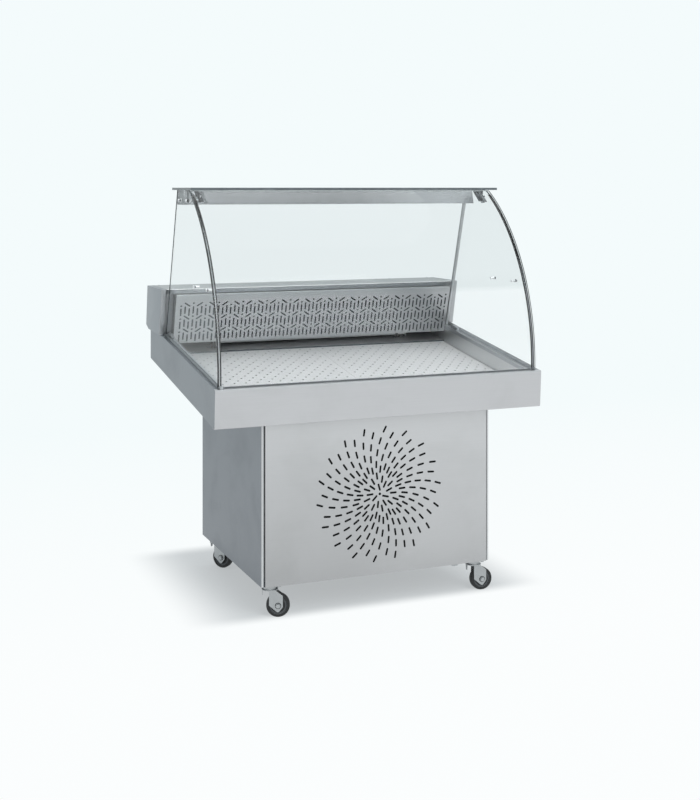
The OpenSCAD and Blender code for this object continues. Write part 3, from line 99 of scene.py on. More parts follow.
class Sketch:
    """A node tree that is written in short calls."""

    def __init__(self, tree: bpy.types.NodeTree) -> None:
        """Starts on an empty tree."""
        self.tree = tree
        self.column = 0

    def add(self, kind: str, settings: dict[str, object] | None = None, **values: object) -> bpy.types.Node:
        """Adds a node.

        Args:
            kind: Blender's name of the node type.
            settings: Properties of the node, by name.
            **values: Input values or output sockets to link, by input name with underscores for blanks.

        Returns:
            The new node.
        """
        node = self.tree.nodes.new(kind)
        node.location = (self.column, 0)
        self.column += 180
        for name, value in (settings or {}).items():
            setattr(node, name, value)
        self.feeds(node, **values)
        return node

    def feed(self, node: bpy.types.Node, name: str | int, value: object) -> None:
        """Sets or links one input of a node.

        Args:
            node: The node that is fed.
            name: The input's name or number.
            value: A value, or the output socket that feeds the input. A colour may leave out its alpha.
        """
        socket = node.inputs[name]
        if isinstance(value, bpy.types.NodeSocket):
            self.tree.links.new(value, socket)
        elif socket.type == "RGBA" and len(value) == 3:
            socket.default_value = (*value, 1.0)
        else:
            socket.default_value = value

    def feeds(self, node: bpy.types.Node, **values: object) -> None:
        """Sets or links several inputs of a node."""
        for name, value in values.items():
            self.feed(node, name.replace("_", " "), value)

    def row(self, kind: str, settings: dict[str, object], *values: object) -> bpy.types.Node:
        """Adds a node and feeds its first inputs in their order.

        Args:
            kind: Blender's name of the node type.
            settings: Properties of the node, by name.
            *values: Values or output sockets.

        Returns:
            The new node.
        """
        node = self.add(kind, settings)
        for index, value in enumerate(values):
            self.feed(node, index, value)
        return node

    def effect(self, name: str, **values: object) -> bpy.types.bpy_prop_collection:
        """Adds a shared effect."""
        return self.add("ShaderNodeGroup", {"node_tree": EFFECTS.get(name)}, **values).outputs

    def here(self) -> bpy.types.NodeSocket:
        """Returns the place that is shaded, in metres."""
        return self.add("ShaderNodeTexCoord").outputs["Object"]

    def split(self, vector: bpy.types.NodeSocket) -> bpy.types.bpy_prop_collection:
        """Returns a vector's X, Y and Z."""
        return self.add("ShaderNodeSeparateXYZ", Vector=vector).outputs

    def noise(self, where: bpy.types.NodeSocket, scale: object, **values: object) -> bpy.types.NodeSocket:
        """Returns a noise value."""
        return self.add("ShaderNodeTexNoise", Vector=where, Scale=scale, **values).outputs["Fac"]

    def mix(self, blend: str, factor: object, a: object, b: object) -> bpy.types.NodeSocket:
        """Mixes two colours.

        Args:
            blend: Blender's name of the blend mode.
            factor: Factor value or socket.
            a: First colour or socket.
            b: Second colour or socket.

        Returns:
            The mixed colour's socket.
        """
        node = self.add("ShaderNodeMix", {"data_type": "RGBA", "blend_type": blend})
        for index, value in ((0, factor), (6, a), (7, b)):
            self.feed(node, index, value)
        return node.outputs[2]

    def toned(self, colour: object, tone: bpy.types.NodeSocket) -> bpy.types.NodeSocket:
        """Returns a colour times a tone."""
        return self.mix("MULTIPLY", 1.0, colour, tone)

    def math(self, operation: str, a: object, b: object = 0.0) -> bpy.types.NodeSocket:
        """Adds a Math node."""
        return self.row("ShaderNodeMath", {"operation": operation}, a, b).outputs[0]

    def swing(self, noise: bpy.types.NodeSocket, gain: float = 2.0) -> bpy.types.NodeSocket:
        """Returns how far a noise is off its middle, times a gain."""
        return self.math("MULTIPLY", self.math("SUBTRACT", noise, 0.5), gain)

    def vector(self, operation: str, a: object, b: object) -> bpy.types.bpy_prop_collection:
        """Returns the outputs of a Vector Math node for an operation on two vectors."""
        return self.row("ShaderNodeVectorMath", {"operation": operation}, a, b).outputs

    def span(self, value: object, low: object, high: object, to_low: object,
             to_high: object) -> bpy.types.NodeSocket:
        """Maps a value from one span to another, held at both ends."""
        return self.row("ShaderNodeMapRange", {}, value, low, high, to_low, to_high).outputs[0]

    def bump(self, strength: float, distance: float, height: bpy.types.NodeSocket) -> bpy.types.NodeSocket:
        """Returns the normal of a bumped face."""
        return self.add("ShaderNodeBump", Strength=strength, Distance=distance, Height=height).outputs[0]

    def seen(self) -> bpy.types.NodeSocket:
        """Returns 1 for rays of the camera, and for those mirrored or let through."""
        path = self.add("ShaderNodeLightPath").outputs
        mirrored = self.math("MAXIMUM", path["Is Glossy Ray"], path["Is Transmission Ray"])
        return self.math("MAXIMUM", path["Is Camera Ray"], mirrored)

    def choose(self, factor: bpy.types.NodeSocket, a: bpy.types.Node,
               b: bpy.types.Node) -> bpy.types.NodeSocket:
        """Returns a mix of two shaders."""
        return self.row("ShaderNodeMixShader", {}, factor, a.outputs[0], b.outputs[0]).outputs[0]


class EffectLibrary:
    """The shader node groups that several finishes share, each built once."""

    def __init__(self) -> None:
        """Starts with no group built."""
        self._made: dict[str, bpy.types.NodeTree] = {}

    def _start(self, name: str, outputs: Sequence[str],
               **inputs: object) -> tuple[Sketch, bpy.types.bpy_prop_collection]:
        """Opens a new group.

        Args:
            name: The group's name.
            outputs: Its outputs: Colour holds a colour, and the others a number.
            **inputs: The default of each input, by its name with underscores for blanks.

        Returns:
            A sketch of the group's tree, and the sockets of its inputs.
        """
        tree = bpy.data.node_groups.new(name, "ShaderNodeTree")
        for label, default in inputs.items():
            kind = SOCKETS[len(default) if isinstance(default, tuple) else 1]
            socket = tree.interface.new_socket(name=label.replace("_", " "), in_out="INPUT", socket_type=kind)
            socket.default_value = default
        for label in outputs:
            kind = SOCKETS[4 if label == "Colour" else 1]
            tree.interface.new_socket(name=label, in_out="OUTPUT", socket_type=kind)
        self._made[name] = tree
        sketch = Sketch(tree)
        return sketch, sketch.add("NodeGroupInput").outputs

    def get(self, name: str) -> bpy.types.NodeTree:
        """Returns the group of that name, built on its first use."""
        if name not in self._made:
            getattr(self, "_build_" + name)()
        return self._made[name]

    def _build_brushed_grain(self) -> None:
        """Builds the brushed lines of sheet steel, with a slow cloudiness under them."""
        s, ports = self._start("brushed_grain", ("Colour", "Roughness", "Height"), Colour=MID_GREY,
                               Roughness=0.35, Stretch=Grain.ACROSS.value, Contrast=0.06)
        where = s.here()
        lines = s.noise(s.vector("MULTIPLY", where, ports["Stretch"])[0], 1.0, Detail=3.0, Roughness=0.65)
        cloud = s.noise(where, 2.2, Detail=2.0, Roughness=0.5)
        swing = s.swing(lines)
        both = s.math("ADD", swing, s.swing(cloud, 1.2))
        tone = s.math("ADD", 1.0, s.math("MULTIPLY", both, ports["Contrast"]))
        spread = s.math("MULTIPLY", swing, s.math("MULTIPLY", ports["Contrast"], 0.8))
        s.add("NodeGroupOutput", Colour=s.toned(ports["Colour"], tone),
              Roughness=s.math("ADD", ports["Roughness"], spread), Height=lines)

    def _build_handling_marks(self) -> None:
        """Builds the faint dull patches that wiping and hands leave."""
        s, ports = self._start("handling_marks", ("Colour", "Roughness"), Colour=MID_GREY, Roughness=0.35,
                               Amount=0.3, Scale=5.0)
        patch = s.noise(s.here(), ports["Scale"], Detail=5.0, Roughness=0.6, Distortion=0.6)
        mask = s.math("MULTIPLY", s.span(patch, 0.48, 0.72, 0.0, 1.0), ports["Amount"])
        s.add("NodeGroupOutput", Colour=s.mix("MULTIPLY", mask, ports["Colour"], (0.9, 0.9, 0.89, 1.0)),
              Roughness=s.math("ADD", ports["Roughness"], s.math("MULTIPLY", mask, 0.16)))

    def _build_moulded_skin(self) -> None:
        """Builds the fine grain of moulded plastic, rubber and enamel."""
        s, ports = self._start("moulded_skin", ("Colour", "Roughness", "Height"), Colour=DARK_GREY,
                               Roughness=0.5, Scale=900.0, Variation=0.15)
        where = s.here()
        pores = s.noise(where, ports["Scale"], Detail=2.0, Roughness=0.6)
        swing = s.swing(s.noise(where, 18.0, Detail=3.0, Roughness=0.6))
        tone = s.math("ADD", 1.0, s.math("MULTIPLY", swing, ports["Variation"]))
        s.add("NodeGroupOutput", Colour=s.toned(ports["Colour"], tone), Height=pores,
              Roughness=s.math("ADD", ports["Roughness"], s.math("MULTIPLY", swing, 0.08)))

    def _build_settled_dust(self) -> None:
        """Builds the dust that lies on faces that look up."""
        s, ports = self._start("settled_dust", ("Colour",), Colour=DARK_GREY, Amount=0.25)
        facing = s.split(s.add("ShaderNodeNewGeometry").outputs["Normal"])["Z"]
        patch = s.noise(s.here(), 30.0, Detail=4.0, Roughness=0.7)
        up = s.span(facing, 0.35, 0.95, 0.0, 1.0)
        mask = s.math("MULTIPLY", s.math("MULTIPLY", up, patch), ports["Amount"])
        s.add("NodeGroupOutput", Colour=s.mix("MIX", mask, ports["Colour"], (0.42, 0.4, 0.37, 1.0)))

    def _build_facing_tone(self) -> None:
        """Builds a second colour for the faces that look along an axis, or for those that don't, such as the
        edges of holes; the palette paints light and shade with it.
        """
        s, ports = self._start("facing_tone", ("Colour",), Colour=MID_GREY, Other=DARK_GREY,
                               Axis=(0.0, -1.0, 0.0), Low=0.1, High=0.2)
        normal = s.add("ShaderNodeNewGeometry").outputs["True Normal"]
        facing = s.vector("DOT_PRODUCT", normal, ports["Axis"])["Value"]
        mask = s.span(facing, ports["Low"], ports["High"], 0.0, 1.0)
        s.add("NodeGroupOutput", Colour=s.mix("MIX", mask, ports["Other"], ports["Colour"]))

    def _build_height_fade(self) -> None:
        """Builds a slow change of tone between two heights; on the front sheet it is a painted reflection,
        darker towards the bottom, as on a sheet that mirrors a darker floor.
        """
        s, ports = self._start("height_fade", ("Colour",), Colour=MID_GREY, Low=0.1, High=0.6, Low_Tone=0.8,
                               High_Tone=1.0)
        where = s.here()
        drift = s.span(s.noise(where, 1.6, Detail=1.0), 0.3, 0.7, -0.12, 0.12)
        level = s.math("ADD", s.split(where)["Z"], drift)
        tone = s.span(level, ports["Low"], ports["High"], ports["Low Tone"], ports["High Tone"])
        s.add("NodeGroupOutput", Colour=s.toned(ports["Colour"], tone))

    def _build_long_sheen(self) -> None:
        """Builds a painted sheen along a long bar: the tone changes slowly from left end over middle to right
        end.
        """
        s, ports = self._start("long_sheen", ("Colour",), Colour=MID_GREY, Left=1.0, Middle=0.8, Right=1.2)
        across = s.split(s.here())["X"]
        left = s.span(across, -0.5, -0.1, ports["Left"], ports["Middle"])
        right = s.span(across, 0.08, 0.46, 1.0, s.math("DIVIDE", ports["Right"], ports["Middle"]))
        s.add("NodeGroupOutput", Colour=s.toned(ports["Colour"], s.math("MULTIPLY", left, right)))


EFFECTS = EffectLibrary()


def new_material(name: str, colour: Rgb) -> tuple[bpy.types.Material, Sketch, bpy.types.Node]:
    """Makes an empty material with a Principled shader.

    Args:
        name: The material's name.
        colour: Its colour in plain views.

    Returns:
        The material, a sketch of its tree, and the Principled node.
    """
    material = bpy.data.materials.new(name)
    material.use_nodes = True
    material.node_tree.nodes.clear()
    material.diffuse_color = (*colour, 1.0)
    sketch = Sketch(material.node_tree)
    shader = sketch.add("ShaderNodeBsdfPrincipled")
    sketch.add("ShaderNodeOutputMaterial", Surface=shader.outputs[0])
    return material, sketch, shader


def show(material: bpy.types.Material, surface: bpy.types.NodeSocket) -> None:
    """Feeds a material's output with a socket in place of its Principled shader.

    Args:
        material: The material.
        surface: The shader's socket.
    """
    nodes = material.node_tree.nodes
    output = next(node for node in nodes if node.type == "OUTPUT_MATERIAL")
    material.node_tree.links.new(surface, output.inputs["Surface"])


class Finish:
    """What every finish can do: give its material, made on first use."""

    _cache: dict[str, bpy.types.Material] = {}
    name: str

    def material(self) -> bpy.types.Material:
        """Returns the finish's material."""
        if self.name not in Finish._cache:
            Finish._cache[self.name] = self.build()
        return Finish._cache[self.name]

    def build(self) -> bpy.types.Material:
        """Builds the material. Each finish has its own way."""
        raise NotImplementedError(self.name)

    @staticmethod
    def skin(s: Sketch, shader: bpy.types.Node, colour: object, roughness: float, scale: float = 900.0,
             variation: float = 0.15, dust: float = 0.0, relief: float = 0.08) -> None:
        """Lays the fine skin of rubber, plastic or enamel, and dust, over a colour.

        Args:
            s: The sketch of the material's tree.
            shader: The Principled node.
            colour: The colour under the skin, or its socket.
            roughness: The roughness.
            scale: Scale of the pores.
            variation: How far the tone varies.
            dust: How much dust lies on it.
            relief: Strength of the pores' bump.
        """
        coat = s.effect("moulded_skin", Colour=colour, Roughness=roughness, Scale=scale, Variation=variation)
        top = coat["Colour"]
        if dust:
            top = s.effect("settled_dust", Colour=top, Amount=dust)["Colour"]
        s.feeds(shader, Base_Color=top, Roughness=coat["Roughness"],
                Normal=s.bump(relief, 0.0005, coat["Height"]))


@dataclass(frozen=True)
class Tone:
    """A second colour for the faces that look along an axis, or for those that don't. The palette's tones
    paint light and shade by the way a face turns.
    """

    axis: Point
    colour: Rgb
    low: float = 0.1
    high: float = 0.2
    facing: bool = False

    def over(self, s: Sketch, colour: bpy.types.NodeSocket) -> bpy.types.NodeSocket:
        """Lays the tone over a colour.

        Args:
            s: The sketch of the material's tree.
            colour: The socket of the colour under it.

        Returns:
            The new colour's socket.
        """
        pair = (self.colour, colour) if self.facing else (colour, self.colour)
        return s.effect("facing_tone", Colour=pair[0], Other=pair[1], Axis=self.axis, Low=self.low,
                        High=self.high)["Colour"]


@dataclass(frozen=True)
class Steel(Finish):
    """Brushed sheet or bar of stainless or zinc plated steel, or bare copper."""

    name: str
    colour: Rgb
    roughness: float = 0.36
    metallic: float = 0.9
    grain: Grain = Grain.ACROSS
    contrast: float = 0.06
    marks: float = 0.35
    relief: float = 0.02
    tones: tuple[Tone, ...] = ()
    fade: tuple[float, float, float, float] | None = None
    sheen: tuple[float, float, float] | None = None

    def build(self) -> bpy.types.Material:
        """Builds grain, wiping marks and the fine relief of the brushing.

        Tones give faces of some directions a colour of their own, as painted light and shade. With a fade,
        the tone changes between two heights, and with a sheen it changes from left to right as a painted
        sheen.

        Returns:
            The material.
        """
        material, s, shader = new_material(self.name, self.colour)
        grain = s.effect("brushed_grain", Colour=self.colour, Roughness=self.roughness,
                         Stretch=self.grain.value, Contrast=self.contrast)
        marks = s.effect("handling_marks", Colour=grain["Colour"], Roughness=grain["Roughness"],
                         Amount=self.marks)
        colour = marks["Colour"]
        if self.fade:
            low, high, low_tone, high_tone = self.fade
            colour = s.effect("height_fade", Colour=colour, Low=low, High=high, Low_Tone=low_tone,
                              High_Tone=high_tone)["Colour"]
        if self.sheen:
            left, middle, right = self.sheen
            colour = s.effect("long_sheen", Colour=colour, Left=left, Middle=middle, Right=right)["Colour"]
        for tone in self.tones:
            colour = tone.over(s, colour)
        s.feeds(shader, Base_Color=colour, Roughness=marks["Roughness"], Metallic=self.metallic,
                Normal=s.bump(self.relief, 0.0004, grain["Height"]))
        return material


@dataclass(frozen=True)
class Moulded(Finish):
    """Plastic, rubber, foam or enamel with a fine skin and a little dust."""

    name: str
    colour: Rgb
    roughness: float = 0.5
    scale: float = 900.0
    variation: float = 0.15
    dust: float = 0.15
    relief: float = 0.08
    coat: float = 0.0

    def build(self) -> bpy.types.Material:
        """Builds the skin, the dust and the clear coat.

        Returns:
            The material.
        """
        material, s, shader = new_material(self.name, self.colour)
        self.skin(s, shader, self.colour, self.roughness, self.scale, self.variation, self.dust,
                  self.relief)
        s.feed(shader, "Coat Weight", self.coat)
        return material


@dataclass(frozen=True)
class Glass(Finish):
    """Clear float glass with the faintest haze. With a foot, it is paler below a height."""

    name: str
    colour: Rgb
    haze: float = 0.02
    index: float = 1.15
    foot: Rgb | None = None
    foot_low: float = 1.008
    foot_high: float = 1.028

    def build(self) -> bpy.types.Material:
        """Builds clear glass that lets the lamps' light through to what stands behind it.

        Returns:
            The material.
        """
        material, s, shader = new_material(self.name, self.colour)
        marks = s.effect("handling_marks", Colour=self.colour, Roughness=0.0, Amount=self.haze, Scale=7.0)
        tint = marks["Colour"]
        if self.foot:
            rise = s.span(s.split(s.here())["Z"], self.foot_low, self.foot_high, 0.0, 1.0)
            tint = s.mix("MIX", rise, self.foot, tint)
        s.feeds(shader, Base_Color=tint, Roughness=marks["Roughness"], Transmission_Weight=1.0,
                IOR=self.index)
        clear = s.add("ShaderNodeBsdfTransparent", Color=self.colour)
        shadow = s.add("ShaderNodeLightPath").outputs["Is Shadow Ray"]
        show(material, s.choose(shadow, shader, clear))
        return material


@dataclass(frozen=True)
class GlassEdge(Finish):
    """The ground edge of a glass pane, which looks dark from the side."""

    name: str
    colour: Rgb

    def build(self) -> bpy.types.Material:
        """Builds a slightly frosted edge with the streaks of its grinding.

        Returns:
            The material.
        """
        material, s, shader = new_material(self.name, self.colour)
        grain = s.effect("brushed_grain", Colour=self.colour, Roughness=0.22,
                         Stretch=(40.0, 300.0, 40.0), Contrast=0.3)
        s.feeds(shader, Base_Color=grain["Colour"], Roughness=grain["Roughness"], Specular_IOR_Level=0.2)
        return material


@dataclass(frozen=True)
class Finned(Finish):
    """A coil of aluminium fins, as close lines across the block."""

    name: str
    colour: Rgb
    pitch: float = 3.2

    def build(self) -> bpy.types.Material:
        """Builds the fins as lines of light and dark along x, with dents; the dark part of each line is
        painted shade in the gaps between fins.

        Returns:
            The material.
        """
        material, s, shader = new_material(self.name, self.colour)
        where = s.here()
        wave = s.add("ShaderNodeTexWave", {"bands_direction": "X", "wave_profile": "SAW"}, Vector=where,
                     Scale=1000.0 / self.pitch / BANDS_PER_SCALE, Distortion=0.0).outputs["Fac"]
        dents = s.span(s.noise(where, 40.0, Detail=3.0), 0.3, 0.7, 0.85, 1.0)
        tone = s.math("MULTIPLY", s.span(wave, 0.2, 0.7, 0.25, 1.0), dents)
        s.feeds(shader, Base_Color=s.toned(self.colour, tone), Roughness=0.42, Metallic=0.85,
                Normal=s.bump(0.5, 0.001, wave))
        return material


@dataclass(frozen=True)
class Backing(Finish):
    """A dull sheet or seal, of one colour at one height and another above it."""

    name: str
    colour: Rgb
    upper: Rgb
    low: float
    high: float

    def build(self) -> bpy.types.Material:
        """Builds the change from the lower to the upper colour, broken up by soft patches.

        Returns:
            The material.
        """
        material, s, shader = new_material(self.name, self.colour)
        where = s.here()
        patch = s.noise(where, 5.0, Detail=2.0)
        level = s.math("ADD", s.split(where)["Z"], s.span(patch, 0.3, 0.7, -0.012, 0.012))
        rise = s.span(level, self.low, self.high, 0.0, 1.0)
        tone = s.span(patch, 0.35, 0.65, 0.7, 1.15)
        s.feeds(shader, Base_Color=s.toned(s.mix("MIX", rise, self.colour, self.upper), tone),
                Roughness=0.85)
        return material


@dataclass(frozen=True)
class Gasket(Finish):
    """Dark rubber under the glass, with grey strips along the sides and dark blocks at their ends."""

    name: str
    colour: Rgb
    side: Rgb
    side_from_x: float
    side_to_y: float

    def build(self) -> bpy.types.Material:
        """Builds the change of colour by place, with the rubber's skin.

        Returns:
            The material.
        """
        material, s, shader = new_material(self.name, self.colour)
        parts = s.split(s.here())
        edge = 0.002
        out = s.span(s.math("ABSOLUTE", parts["X"]), self.side_from_x - edge, self.side_from_x, 0.0, 1.0)
        ahead = s.span(parts["Y"], self.side_to_y, self.side_to_y + edge, 1.0, 0.0)
        colour = s.mix("MIX", s.math("MULTIPLY", out, ahead), self.colour, self.side)
        self.skin(s, shader, colour, 0.55)
        return material


@dataclass(frozen=True)
class TwoTone(Finish):
    """A caster wheel: black tyre with a grey ring, told apart by the distance from the axle."""

    name: str
    axle: Point
    tyre: Rgb = (0.01, 0.011, 0.012)
    ring: Rgb = (0.09, 0.096, 0.102)
    ring_from: float = 0.0245
    ring_to: float = 0.0305

    def build(self) -> bpy.types.Material:
        """Builds the bands by radius, with the tyre's skin.

        Returns:
            The material.
        """
        material, s, shader = new_material(self.name, self.tyre)
        reach = s.vector("DISTANCE", s.here(), self.axle)["Value"]
        edge = 0.0004
        inner = s.span(reach, self.ring_from - edge, self.ring_from + edge, 0.0, 1.0)
        outer = s.span(reach, self.ring_to - edge, self.ring_to + edge, 1.0, 0.0)
        colour = s.mix("MIX", s.math("MULTIPLY", inner, outer), self.tyre, self.ring)
        self.skin(s, shader, colour, 0.55, 700.0, variation=0.3, dust=0.2, relief=0.12)
        return material


class Palette:
    """Every finish of the counter."""

    # painted shade: the edges of the front panel's slots and its outer edges go near black
    painted_slot_shade = Tone((0.0, -1.0, 0.0), (0.012, 0.014, 0.016))
    # painted shade: the edges of the grille's holes go near black
    painted_grille_hole_shade = Tone((0.0, -0.957, 0.29), (0.02, 0.022, 0.025))
    # painted light: the front folds of the pedestal's sides are much lighter than the shaded sides
    painted_fold_light = Tone((0.0, -1.0, 0.0), (0.62, 0.63, 0.64), 0.45, 0.8, facing=True)
    # painted light: faces of the housing's shell and ends that turn to the front are lighter than their
    # shaded sides
    painted_front_light = Tone((0.0, -0.97, 0.24), (0.62, 0.635, 0.645), 0.8, 0.95, facing=True)
    # painted highlight: a near white line along the lids' rolled front edges
    painted_roll_highlight = Tone((0.0, -0.62, 0.78), (0.98, 0.98, 0.98), 0.84, 0.92, facing=True)
    # painted shade: the well's face that looks to the front, under the grille, goes dark
    painted_wall_shade = Tone((0.0, -1.0, 0.0), (0.115, 0.128, 0.138), 0.6, 0.9, facing=True)
    # painted shade: the cable tube goes dark on the faces that don't turn to the front-left
    painted_tube_side_shade = Tone((-0.38, -0.92, 0.0), (0.08, 0.085, 0.09), 0.35, 0.75)

    # One stainless steel in lit and shaded copies, each grey tuned to how bright its part looks: front and
    # fascia are brighter and paint the light on the front; side, side_low, base, end and shell are darker and
    # paint the shade on the sides.
    front = Steel("front_steel", (0.62, 0.625, 0.635), 0.42, contrast=0.035, tones=(painted_slot_shade,),
                  # painted reflection: the front sheet darkens towards the bottom
                  fade=(0.12, 0.5, 0.7, 1.0))
    fascia = Steel("fascia_steel", (0.59, 0.595, 0.61), 0.4, contrast=0.05)
    side = Steel("side_steel", (0.27, 0.288, 0.31), 0.45, grain=Grain.UPRIGHT, contrast=0.04)
    end = Steel("end_steel", (0.31, 0.33, 0.352), 0.45, grain=Grain.UPRIGHT, contrast=0.04, tones=(painted_front_light,))
    shell = Steel("shell_steel", (0.29, 0.31, 0.33), 0.45, contrast=0.04, tones=(painted_front_light,))
    base = Steel("base_steel", (0.215, 0.23, 0.25), 0.45, grain=Grain.UPRIGHT, contrast=0.04)
    side_low = Steel("side_low_steel", (0.215, 0.232, 0.255), 0.42, grain=Grain.UPRIGHT, contrast=0.04,
                     tones=(painted_fold_light,))
    rim = Steel("rim_steel", (0.54, 0.557, 0.575))
    lid = Steel("lid_steel", (0.31, 0.325, 0.336), 0.34, contrast=0.08, tones=(painted_roll_highlight,))
    # painted sheen: the bar's tone changes from left to right as its reflection does
    bar = Steel("bar_steel", (0.255, 0.268, 0.278), 0.5, 0.4, contrast=0.1, sheen=(0.95, 0.75, 1.35))
    well = Steel("well_steel", (0.75, 0.76, 0.765), 0.4, contrast=0.04, tones=(painted_wall_shade,))
    tray = Steel("tray_steel", (0.545, 0.55, 0.555), 0.5, 0.25, contrast=0.04)
    grille = Steel("grille_steel", (0.435, 0.45, 0.462), 0.32, contrast=0.12, tones=(painted_grille_hole_shade,))
    tube = Steel("tube_steel", (0.5, 0.52, 0.53), 0.3, grain=Grain.UPRIGHT, contrast=0.05,
                 tones=(painted_tube_side_shade,))
    bracket = Steel("bracket_steel", (0.13, 0.138, 0.145), 0.55, 0.5, Grain.NONE, 0.05)
    stud = Steel("stud_steel", (0.34, 0.36, 0.37), 0.25, 1.0, Grain.NONE, 0.05)
    pale_stud = Steel("pale_stud_steel", (0.85, 0.86, 0.87), 0.35, 0.3, Grain.NONE, 0.05)
    zinc = Steel("zinc_steel", (0.42, 0.437, 0.447), 0.4, grain=Grain.NONE, contrast=0.1)
    bright = Steel("bright_steel", (0.74, 0.76, 0.77), 0.18, 1.0, Grain.NONE, 0.05)
    copper = Steel("copper_tube", (0.62, 0.3, 0.17), 0.34, grain=Grain.NONE, contrast=0.12,
                   fade=(0.48, 0.54, 1.0, 0.05))

    # painted shade: the black sheet behind the front panel's slots
    slot_shade_black = Moulded("slot_shade_black", (0.004, 0.0045, 0.005), 0.9, dust=0.0)
    # painted shade: dark sheets under the perforated trays
    hole_sheet = Moulded("hole_shade_black", (0.03, 0.033, 0.036), 0.6, dust=0.0)
    black_enamel = Moulded("black_enamel", (0.02, 0.02, 0.022), 0.3, coat=0.4, dust=0.3)
    rubber = Moulded("black_rubber", (0.014, 0.015, 0.016), 0.7, scale=500.0)
    black_plastic = Moulded("black_plastic", (0.022, 0.023, 0.025), 0.45)
    key = Moulded("key_plastic", (0.06, 0.066, 0.07), 0.42)
    red = Moulded("switch_plastic", (0.36, 0.02, 0.015), 0.25, coat=0.6)
    white = Moulded("white_plastic", (0.72, 0.73, 0.73), 0.4)
    opal = Moulded("opal_plastic", (0.85, 0.87, 0.87), 0.3)
    foam = Moulded("foam", (0.2, 0.208, 0.215), 0.9, scale=260.0, relief=0.4, variation=0.2)
    lit = Moulded("lit_segments", (0.75, 0.06, 0.03), 0.35, dust=0.0)

    grille_shade = Backing("grille_shade", (0.05, 0.055, 0.06), (0.002, 0.002, 0.002), 0.926, 0.94)
    left_seal = Backing("left_seal", (0.36, 0.38, 0.39), (0.015, 0.017, 0.019), 1.17, 1.26)
    right_seal = Backing("right_seal", (0.2, 0.215, 0.23), (0.008, 0.009, 0.01), 0.98, 1.12)
    gasket = Gasket("gasket_rubber", (0.17, 0.182, 0.19), (0.32, 0.342, 0.358), 0.538, 0.16)
    fins = Finned("coil_fins", (0.62, 0.64, 0.65))

    glass = Glass("clear_glass", (0.865, 0.88, 0.883), foot=(0.983, 0.982, 0.984))
    # painted shade: the near left pane has a darker tint than the same glass on the right
    left_glass = Glass("left_clear_glass", (0.885, 0.9, 0.903), index=1.08)
    side_glass = Glass("side_clear_glass", (0.985, 0.99, 0.99), index=1.08)
    # One ground glass edge in three greys, each set to how dark it looks in its place: painted light and
    # shade.
    edge = GlassEdge("glass_edge", (0.03, 0.04, 0.045))
    foot_edge = GlassEdge("glass_foot_edge", (0.5, 0.54, 0.55))
    shelf_edge = GlassEdge("shelf_edge", (0.14, 0.16, 0.17))


# Turned forms, as radius and height of each ring
SCREW_HEAD = ((0.0, 0.0), (3.9, 0.0), (4.2, 0.5), (3.9, 1.3), (3.0, 2.0), (1.7, 2.35), (1.5, 1.5),
              (0.0, 1.4))
WASHER = ((8.1, 0.0), (9.8, 0.0), (10.0, 0.3), (9.8, 0.9), (8.1, 0.9))
STRAINER = ((0.0, 0.0), (21.0, 0.0), (21.8, 0.6), (21.0, 1.6), (17.0, 1.9), (16.0, 1.2), (0.0, 1.2))
PROBE = ((0.0, 0.0), (2.4, 0.3), (2.6, 1.0), (2.6, 22.0), (2.2, 24.0), (0.0, 24.6))


